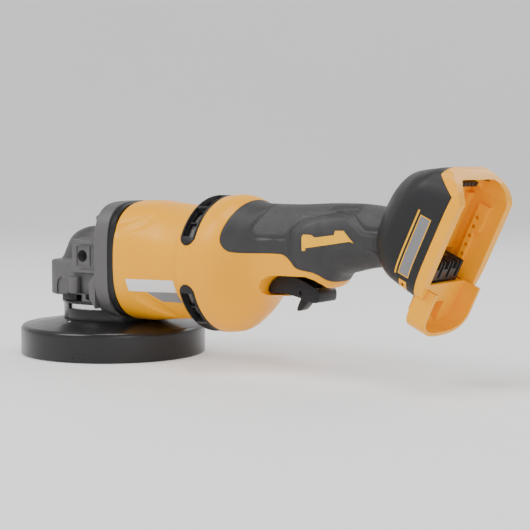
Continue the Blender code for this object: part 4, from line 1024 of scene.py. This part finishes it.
def vents():
    """Frames above and below, each with round-ended windows, bars and a woven screen behind."""
    centre = (0, 0, MOTOR_Z)
    low, high = VENT_X
    outer = VENT_R[1]
    frame_profile = [(VENT_R[0], low), (outer - 1.6, low), (outer - 0.7, low + 0.25), (outer - 0.15, low + 0.9)]
    frame_profile += [(outer, low + 1.8), (outer, high - 1.8), (outer - 0.15, high - 0.9), (outer - 0.7, high - 0.25)]
    frame_profile += [(outer - 1.6, high), (VENT_R[0], high)]
    window = [(46.2, low + 2.4), (52.0, low + 1.9), (52.0, high - 1.9), (46.2, high - 2.4)]
    deep = [(40.0, low + 3.2), (52.0, low + 3.0), (52.0, high - 3.0), (40.0, high - 3.2)]
    screen = [(42.2, 102.0), (43.2, 102.0), (43.2, 114.4), (42.2, 114.4)]
    for name, start, sweep in (("upper", 18.5, 143.0), ("lower", 194.5, 151.0)):
        surround = put(f"vent_surround_{name}", round_ended_band(frame_profile, start, sweep))
        count = 4
        pitch = (sweep - 12.0) / count
        for index in range(count):
            begin = start + 6.0 + pitch * index + 1.5
            span = pitch - 3.0
            cut(surround, turned_mesh(window, axis="X", centre=centre, start=begin, sweep=span, segments=18))
            for half in (0, 1):
                edge = begin + 0.9 + half * (span / 2)
                wide = span / 2 - 1.8
                cut(surround, turned_mesh(deep, axis="X", centre=centre, start=edge, sweep=wide, segments=9))
        piece(settle(surround, 0.4, 2), "housing", "black_plastic", BLACK, f"vent_frame_{name}")
        mesh = turned_mesh(screen, axis="X", centre=centre, start=start + 1, sweep=sweep - 2, segments=90)
        grille = put(f"vent_mesh_{name}", mesh)
        piece(settle(grille), "housing", "blackened_steel", SCREEN, f"vent_screen_{name}")


# ---------------------------------------------------------------- handle


def relief(points):
    """How far each (x, z) point of the grip stands out from the plain handle, in millimetres."""
    out = np.zeros(len(points))
    for line in GRIP_GROOVES:
        away = distance_to(points, line)
        out -= 0.75 * np.clip(1 - (away / 1.5) ** 2, 0, 1) ** 2
    raised = inside(points, GRIP_PANEL)
    edge = np.clip(distance_to(points, GRIP_PANEL, closed=True) / 2.5, 0, 1)
    out += np.where(raised, 0.7 * edge * edge * (3 - 2 * edge), 0.0)
    field = inside(points, RIB_FIELD)
    fade = np.clip(distance_to(points, RIB_FIELD, closed=True) / 1.6, 0, 1)
    x, z = points[:, 0], points[:, 1]
    phase = (x - 204.0 + 0.55 * (z - 84.0) + 0.004 * (z - 84.0) * (x - 204.0)) / RIB_PITCH
    ribs = 0.62 * (np.abs(np.sin(math.pi * phase)) ** 0.6 - 0.9)
    out += np.where(field, ribs * fade, 0.0)
    return out


# Side view (x, z) of the raised panel of the grip
GRIP_PANEL = (
    (212.0, 107.0), (198.0, 104.2), (189.2, 100.6), (183.4, 94.6), (182.0, 86.0),
    (183.6, 79.0), (189.0, 72.6), (204.0, 70.0), (205.5, 84.0), (236.0, 84.0),
    (247.0, 80.5), (246.0, 94.5), (236.0, 95.6), (226.0, 104.2), (220.5, 107.0),
)


def handle_rows(step):
    return smooth_rows(REAR_SECTIONS, step)


def section(top, bottom, half, power, *low_power, inset=0.0, count=120):
    """Outline in (y, height) of a cross-section between two heights."""
    middle, height = (top + bottom) / 2, (top - bottom) / 2
    outline = superellipse(half - inset, height - inset, power, count, *low_power)
    return [(y, middle + up) for y, up in outline]


def shell_rings(rows, count, inset):
    return [[(x, *spot) for spot in section(*size, inset=inset, count=count)] for x, *size in rows]


def relieved(ring_list):
    """The handle's rings with the grip's relief pushed outwards from their middles."""
    flat = np.array([point for ring in ring_list for point in ring])
    out = relief(flat[:, [0, 2]])
    middles = np.array([np.mean(ring, axis=0) for ring in ring_list])
    count = len(ring_list[0])
    away = flat - np.repeat(middles, count, axis=0)
    away[:, 0] = 0
    away /= np.linalg.norm(away, axis=1)[:, None]
    flat += away * out[:, None]
    return [[tuple(point) for point in flat[i : i + count]] for i in range(0, len(flat), count)]


# The grip's border with the yellow housing, from its top front corner to its bottom rear corner
GRIP_EDGE = GRIP_OUTLINE[14:] + GRIP_OUTLINE[:12]
HANDLE_SCREW_SPOTS = ((160.0, 98.6), (206.0, 101.0), (238.0, 84.0))


def beyond_handle_mesh():
    return foot_box_mesh((HANDLE_END_N, 300.0), (-60.0, 60.0), (60.0, 300.0))


def handle():
    coarse = handle_rows(2.0)
    fine = [row for row in handle_rows(0.75) if row[0] > 131.0]
    centre = (0, 0, MOTOR_Z)
    front = VENT_X[0]
    tab = [(44.8, front), (48.2, front), (48.2, 118.5), (47.0, 118.5), (47.0, 115.9), (44.8, 113.0)]
    side = PADDLE_HALF + 0.7
    slot = ((168.0, -side, 58.0), (196.6, side, 71.5), 1.0)
    roof_line = offset_outline(PADDLE_RECESS, -RECESS_ROOF)
    shell_line = ((100.0, 130.0), *softened(GRIP_EDGE), (212.0, 10.0), (100.0, 10.0))
    rubber_line = offset_outline((*softened(GRIP_EDGE), (280.0, 50.0), (280.0, 130.0)), GAP)
    for sign in (-1, 1):
        name = side_name(sign)
        low, high = between(sign, GAP / 2, 80.0)
        rings = shell_rings(coarse, 128, 0.0) + shell_rings(coarse, 128, SHELL_WALL)[::-1]
        shell = put(f"rear_shell_{name}", grid_mesh(rings, wrap=True))
        begin = -20.0 if sign > 0 else 156.5
        join(shell, turned_mesh(tab, axis="X", centre=centre, start=begin, sweep=43.5, segments=60))
        roof = put(f"roof_{name}", grid_mesh(shell_rings(coarse, 96, 0.5), wrap=False))
        join(shell, keep(roof, prism_mesh(roof_line, "XZ", -40.0, 40.0)))
        keep(shell, prism_mesh(shell_line, "XZ", low, high))
        cut(shell, prism_mesh(PADDLE_RECESS, "XZ", -60.0, 60.0))
        cut(shell, bevelled_box_mesh(*slot))
        lug = between(sign, GAP / 2, PADDLE_ARM_INNER - 0.8)
        join(shell, prism_mesh(PADDLE_LUG, "XZ", *lug))
        piece(settle(shell, 0.0, smooth=30), "housing", "yellow_plastic", YELLOW, f"rear_housing_{name}")
        rings = relieved(shell_rings(fine, 200, 0.0)) + shell_rings(fine, 200, SHELL_WALL)[::-1]
        rubber = put(f"rubber_grip_{name}", grid_mesh(rings, wrap=True))
        keep(rubber, prism_mesh(rubber_line, "XZ", low, high))
        cut(rubber, bevelled_box_mesh(*slot))
        cut(rubber, beyond_handle_mesh())
        if sign > 0:
            for x, z in HANDLE_SCREW_SPOTS:
                cut(rubber, rod_mesh((x, 17.5, z), (x, 40.0, z), 3.3, 32))
        settle(rubber, 0.0, smooth=30)
        stipple(rubber)
        piece(rubber, "housing", "grip_rubber", RUBBER, f"grip_{name}")
        plate = (BADGE_OUTLINE, lambda x, z: sign * handle_half(x, z, fine), sign, 0.95, 1.2, 1.1)
        badge = skin_patch(f"grip_badge_{name}", *plate)
        piece(badge, "housing", "yellow_plastic", LABEL_YELLOW)


def handle_half(x, z, rows):
    row = min(rows, key=lambda r: abs(r[0] - x))
    middle, height = (row[1] + row[2]) / 2, (row[1] - row[2]) / 2
    power = row[4] if z > middle else row[5]
    return row[3] * max(0.0, 1 - abs((z - middle) / height) ** power) ** (1 / power)


def stipple(obj):
    """Marks the textured patches for the rubber's material."""
    count = len(obj.data.vertices)
    flat = np.zeros(count * 3, np.float32)
    obj.data.vertices.foreach_get("co", flat)
    points = flat.reshape(-1, 3)[:, [0, 2]] / MM
    value = np.zeros(count)
    for outline in (PATCH_OUTLINE, REAR_PATCH):
        near = np.clip(distance_to(points, outline, closed=True) / 0.8, 0, 1)
        value = np.maximum(value, np.where(inside(points, outline), near, 0))
    mark = obj.data.attributes.new("stipple", "FLOAT", "POINT")
    mark.data.foreach_set("value", value.astype(np.float32))


def softened(line, closed=False, rounds=3):
    """Rounds the corners of a flat line by cutting them again and again."""
    for _ in range(rounds):
        pairs = list(zip(line, line[1:] + line[:1] if closed else line[1:]))
        made = []
        for (a0, b0), (a1, b1) in pairs:
            made += [(0.75 * a0 + 0.25 * a1, 0.75 * b0 + 0.25 * b1), (0.25 * a0 + 0.75 * a1, 0.25 * b0 + 0.75 * b1)]
        line = tuple(made) if closed else (line[0], *made[1:-1], line[-1])
    return line


def paddle():
    pivot_x, pivot_z = PADDLE_PIVOT
    lever = put("paddle_body", prism_mesh(softened(PADDLE_OUTLINE, True, 2), "XZ", -PADDLE_HALF, PADDLE_HALF))
    inner = PADDLE_HALF - PADDLE_WALL
    cut(lever, prism_mesh(PADDLE_HOLLOW, "XZ", -inner, inner))
    cut(lever, box_mesh((150.0, -PADDLE_ARM_INNER, 40.0), (169.5, PADDLE_ARM_INNER, 80.0)))
    side = LOCK_OFF_HALF + 0.7
    cut(lever, box_mesh((171.0, -side, 40.0), (186.8, side, 58.0)))
    lock_x, lock_z = LOCK_OFF_PIVOT
    cut(lever, rod_mesh((lock_x, -20.0, lock_z), (lock_x, 20.0, lock_z), 1.6, 28))
    piece(settle(lever, 1.1, 4, 40), "paddle", "black_plastic", BLACK, "paddle_lever")
    outline = softened(LOCK_OFF_OUTLINE, True, 2)
    trigger = put("lock_off_trigger", prism_mesh(outline, "XZ", -LOCK_OFF_HALF, LOCK_OFF_HALF))
    cut(trigger, rod_mesh((lock_x, -20.0, lock_z), (lock_x, 20.0, lock_z), 1.6, 28))
    piece(settle(trigger, 0.7, 3, 40), "lock_off", "black_plastic", BLACK, "lock_off_lever")


# ---------------------------------------------------------------- battery foot


def rounded_arch(half, low, high, radius, steps=6):
    """Outline in (y, u) of a box whose upper corners are rounded."""
    points = [(-half, low), (half, low)]
    for centre, start in ((half - radius, 0.0), (radius - half, 90.0)):
        for i in range(steps + 1):
            angle = math.radians(start + 90.0 * i / steps)
            points.append((centre + radius * math.cos(angle), high - radius + radius * math.sin(angle)))
    return points


def pocket_outline(half, low, high, steps=12, power=2.6):
    """Outline in (y, u) of the pocket: straight sides above a rounded bottom."""
    points = [(half, high), (-half, high)]
    for i in range(steps + 1):
        angle = math.pi * i / steps
        c, s = math.cos(angle), math.sin(angle)
        y = -math.copysign(abs(c) ** (2 / power), c) * half
        points.append((y, POCKET_SIDE_U - (POCKET_SIDE_U - low) * abs(s) ** (2 / power)))
    return points


def foot_loft(outline, low, high):
    return grid_mesh([[foot_point(n, y, u) for y, u in outline] for n in (low, high)], wrap=False)


def foot_prism(outline, half=60.0):
    """Extrudes a side view in (n, u) across the whole foot."""
    return grid_mesh([[foot_point(n, y, u) for n, u in outline] for y in (-half, half)], wrap=False)


def above_cap_edge():
    (rear_n, rear_u), (front_n, front_u) = CAP_EDGE
    rim_side = [(rear_n, rear_u), (300.0, rear_u), (300.0, 300.0)]
    return foot_prism([*rim_side, (front_n, 300.0), (front_n, front_u)])


def below_cap_edge():
    (rear_n, rear_u), (front_n, front_u) = CAP_EDGE
    rear_n, rear_u, front_n, front_u = rear_n + GAP, rear_u + 0.4, front_n + GAP, front_u + 0.4
    rim_side = [(rear_n, 100.0), (rear_n, rear_u), (front_n, front_u), (front_n, 300.0)]
    return foot_prism([(180.0, 100.0), *rim_side, (180.0, 300.0)])


def beyond_top_corner():
    return foot_prism([*TOP_CORNER, (205.0, 257.6), (205.0, 300.0), (300.0, 300.0), (300.0, 238.8)])


def foot_band(inset, count=120):
    return section(*COVER_SECTIONS[-1][1:], inset=inset, count=count)


def cover_rings(inset, extra, count=120):
    """The foot cover's surface, shrunk by an inset and carried on past the rim by an extra length."""
    rows = smooth_rows(COVER_SECTIONS, 1.5)
    rings = []
    for n, *size in rows:
        rings.append([foot_point(n + inset, *spot) for spot in section(*size, inset=inset, count=count)])
    if extra:
        rings.append([foot_point(rows[-1][0] + extra, y, u) for y, u in foot_band(inset, count)])
    return rings


def handle_solid_mesh(grow):
    rings = [ring for ring in shell_rings(handle_rows(4.0), 96, -grow) if ring[0][0] > 215.0]
    return grid_mesh(rings, wrap=False)


def foot_rod(n, y, u, radius, segments=32):
    return rod_mesh(foot_point(n, y[0], u), foot_point(n, y[1], u), radius, segments)


def foot_cover():
    recesses = (
        ("panel", PANEL_N, PANEL_U, 0.7),
        ("tab", TAB_N, TAB_U, 0.3),
        ("stripe", STRIPE_N, STRIPE_U, 0.1),
    )
    edge_n, edge_u = ((low - 0.04, high + 0.04) for low, high in (PANEL_N, PANEL_U))
    for sign in (-1, 1):
        name = side_name(sign)
        cover = put(f"foot_shell_{name}", grid_mesh(cover_rings(0.0, 0.0), wrap=False))
        cut(cover, grid_mesh(cover_rings(COVER_WALL, 8.0), wrap=False))
        cut(cover, handle_solid_mesh(GAP + 0.05))
        cut(cover, above_cap_edge())
        keep(cover, half_space(sign))
        for tag, n, u, grow in recesses:
            cut(cover, surface_plate(f"{tag}_recess_{name}", sign, n, u, grow, 1.5, -2.0))
        piece(settle(cover, 0.0), "housing", "black_plastic", COVER_BLACK, f"foot_cover_{name}")
        panel = surface_plate(f"foot_panel_{name}", sign, PANEL_N, PANEL_U, 0.0, 1.3, 0.25)
        piece(settle(panel), "housing", "badge_grey", GREY, f"foot_badge_{name}")
        edge = surface_plate(f"foot_panel_edge_{name}", sign, PANEL_N, PANEL_U, 0.62, 1.4, 0.12)
        cut(edge, foot_box_mesh(edge_n, (-60.0, 60.0), edge_u))
        piece(settle(edge), "housing", "yellow_plastic", LABEL_YELLOW)
        stripe = surface_plate(f"foot_stripe_{name}", sign, STRIPE_N, STRIPE_U, 0.0, 1.4, 0.2)
        piece(settle(stripe), "housing", "yellow_plastic", LABEL_YELLOW)
        tab = surface_plate(f"foot_tab_{name}", sign, TAB_N, TAB_U, 0.0, 1.4, 0.02)
        cut(tab, foot_rod(218.4, (-60.0, 60.0), 176.8, 1.3))
        piece(settle(tab), "housing", "yellow_plastic", YELLOW, f"tag_tab_{name}")


def surface_plate(name, sign, n, u, grow, inner_inset, outer_inset):
    """A sheet that follows the foot cover's surface, between two depths under it."""
    low, high = between(sign, 20.0, 60.0)
    plate = put(name, foot_box_mesh((n[0] - grow, n[1] + grow), (low, high), (u[0] - grow, u[1] + grow)))
    if outer_inset >= 0:
        keep(plate, grid_mesh(cover_rings(outer_inset, 8.0), wrap=False))
    cut(plate, grid_mesh(cover_rings(inner_inset, 9.0), wrap=False))
    return plate


def receiver():
    body = put("battery_receiver_shell", foot_loft(foot_band(0.0), 205.0, RIM_N))
    cut(body, below_cap_edge())
    tub = [[foot_point(n, *spot) for spot in section(*size)] for n, *size in TUB_SECTIONS]
    join(body, grid_mesh(tub, wrap=False))
    cut(body, beyond_top_corner())
    cut(body, foot_loft(rounded_arch(CAVITY_HALF, *CAVITY_U, 8.0, 16), *CAVITY_N))
    cut(body, foot_loft(rounded_arch(CAVITY_HALF - 2.0, *UPPER_CAVITY_U, 8.0, 16), *UPPER_CAVITY_N))
    half, wall = POCKET_HALF, POCKET_WALL
    low_u, high_u = POCKET_U
    join(body, foot_loft(pocket_outline(half, low_u, high_u, 40), *POCKET_N))
    join(body, foot_prism(UNDER_BLOCK, UNDER_BLOCK_HALF))
    cut(body, foot_prism(UNDER_BLOCK_HOLLOW, UNDER_BLOCK_HALF - wall))
    inner = pocket_outline(half - wall, low_u + wall, 200.0, 40)
    cut(body, foot_loft(inner, POCKET_N[0] + 1.6, 260.0))
    cut(body, foot_box_mesh((212.5, 222.0), (-15.0, 15.0), (243.6, 247.6)))
    for sign in (-1, 1):
        far = CAVITY_HALF + 0.8
        span = between(sign, CAVITY_HALF - 4.2, far)
        join(body, foot_box_mesh((218.5, 222.5), span, (184.0, 214.0)))
        join(body, foot_box_mesh((218.5, 226.0), span, (214.0, 232.5)))
        wide = between(sign, CAVITY_HALF - 8.0, far)
        join(body, foot_box_mesh((207.0, 211.0), wide, (196.0, 236.0)))
        hole = between(sign, CAVITY_HALF - 6.0, CAVITY_HALF - 2.0)
        for index in range(6):
            cut(body, foot_rod(221.0, hole, 190.0 + 6.6 * index, 1.3, 24))
    piece(settle(body, 0.35, 2), "housing", "yellow_plastic", YELLOW, "battery_receiver")
    latch = put("latch_plate_ribbed", foot_box_mesh((212.9, 217.6), (-14.6, 14.6), (244.0, 247.2)))
    for y in (-10.0, -5.0, 0.0, 5.0, 10.0):
        cut(latch, foot_box_mesh((216.9, 220.0), (y - 0.5, y + 0.5), (240.0, 250.0)))
    piece(settle(latch, 0.3), "housing", "black_plastic", BLACK, "latch_plate")
    block = put("terminal_housing", foot_box_mesh((207.7, 227.0), (-22.0, 22.0), (179.8, 195.0), 1.0))
    cut(block, foot_box_mesh((211.0, 213.4), (-18.4, 18.4), (183.6, 205.0)))
    for y in TERMINAL_Y:
        cut(block, foot_box_mesh((212.0, 240.0), (y - 1.6, y + 1.6), (183.4, 205.0)))
    for y in (-11.0, 0.0, 11.0):
        cut(block, foot_box_mesh((219.0, 240.0), (y - 2.6, y + 2.6), (189.5, 205.0)))
    piece(settle(block, 0.3), "housing", "black_plastic", BLACK, "terminal_block")


# ---------------------------------------------------------------- springs


# Name, node, joint, centre, coil radius, bottom, top, turns, height of the end that stays put, share
# of the length that is left at the joint's limit, and material
SPRINGS = (
    (
        "lock_button_spring", "spindle_lock_spring", "spindle_lock_press",
        LOCK_XY, 3.9, 80.3, 92.2, 4, 80.3, 0.56, STEEL,
    ),
    (
        "paddle_return_spring", "paddle_spring", "paddle_squeeze",
        (188.0, 0.0), 3.0, 50.6, 73.4, 5, 73.4, 0.80, BLACK,
    ),
)
WIRE_R = 0.5


def springs():
    """Both coil springs, each built once as a fixed coil carried by the housing."""
    for name, node, joint, spot, radius, low, high, turns, fixed, left, material in SPRINGS:
        coil = settle(put(name, helix_mesh(spot, radius, WIRE_R, low, high, turns, 10, 28)))
        piece(coil, "housing", "steel", material, node)
        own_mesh(coil)


# ---------------------------------------------------------------- stage, light and camera


# All in metres: a flat floor that curves up into a round wall, seen as one seamless backdrop
FLOOR_RADIUS, FLOOR_CURVE, WALL_TOP = 1.9, 1.2, 4.0
FLOOR_GLOW = 0.26
SKY_STRENGTH = 0.10
# Name, place, size and power of each light
LIGHTS = (
    ("key", (-0.55, -1.1, 1.5), 0.9, 20.0),
    ("fill", (1.5, -1.0, 0.7), 0.8, 5.5),
    ("rim", (0.4, 1.3, 1.1), 1.0, 9.0),
    ("top", (0.15, -0.1, 1.6), 0.7, 11.0),
)
LIGHT_AIM = (0.14, 0.0, 0.07)
CAMERA_AZIMUTH, CAMERA_ELEVATION = math.radians(35.6), math.radians(4.4)
CAMERA_DISTANCE = 0.989
CAMERA_AIM = (0.1426, 0.0, 0.0693)
CAMERA_LENS = 95.37


def stage():
    profile = [(0.0, 0.0), (FLOOR_RADIUS, 0.0)]
    for step in range(1, 13):
        angle = math.radians(7.5 * step)
        out, up = FLOOR_CURVE * math.sin(angle), FLOOR_CURVE - FLOOR_CURVE * math.cos(angle)
        profile.append((FLOOR_RADIUS + out, up))
    profile.append((FLOOR_RADIUS + FLOOR_CURVE, WALL_TOP))
    bm = turned_mesh(profile, segments=72, closed=False)
    mesh = bpy.data.meshes.new("floor")
    bm.to_mesh(mesh)
    bm.free()
    mesh.shade_smooth()
    floor = bpy.data.objects.new("floor", mesh)
    floor.location = (0, 0, RIM_Z * MM - 0.0002)
    bpy.context.scene.collection.objects.link(floor)
    paint = moulded("pale_floor", (0.80, 0.80, 0.80), (0.82, 0.82, 0.82), (0.6, 0.7), 300.0, 0.00001, cloud=2.0)
    glow = paint.node_tree.nodes["Principled BSDF"]
    glow.inputs["Emission Color"].default_value = (1.0, 1.0, 1.0, 1.0)
    glow.inputs["Emission Strength"].default_value = FLOOR_GLOW
    mesh.materials.append(paint)
    world = bpy.data.worlds.new("studio")
    bpy.context.scene.world = world
    world.use_nodes = True
    sky = world.node_tree.nodes["Background"]
    sky.inputs["Color"].default_value = (1.0, 1.0, 1.0, 1.0)
    sky.inputs["Strength"].default_value = SKY_STRENGTH
    for name, spot, size, power in LIGHTS:
        light = bpy.data.lights.new(name, "AREA")
        light.size = size
        light.energy = power
        lamp = bpy.data.objects.new(name, light)
        lamp.location = spot
        aim = Vector(LIGHT_AIM) - Vector(spot)
        lamp.rotation_euler = aim.to_track_quat("-Z", "Y").to_euler()
        bpy.context.scene.collection.objects.link(lamp)


def camera():
    flat, up = math.cos(CAMERA_ELEVATION), math.sin(CAMERA_ELEVATION)
    toward = Vector((math.sin(CAMERA_AZIMUTH) * flat, -math.cos(CAMERA_AZIMUTH) * flat, up))
    data = bpy.data.cameras.new("camera")
    data.lens = CAMERA_LENS
    data.sensor_width = 36.0
    data.clip_start = 0.05
    made = bpy.data.objects.new("camera", data)
    made.location = Vector(CAMERA_AIM) + toward * CAMERA_DISTANCE
    made.rotation_euler = (-toward).to_track_quat("-Z", "Y").to_euler()
    bpy.context.scene.collection.objects.link(made)
    bpy.context.scene.camera = made


camera()
stage()
dress_cad_nodes()
gear_head()
gasket()
guard()
guard_lever()
lock_button()
motor_barrel()
vents()
handle()
paddle()
foot_cover()
receiver()
springs()
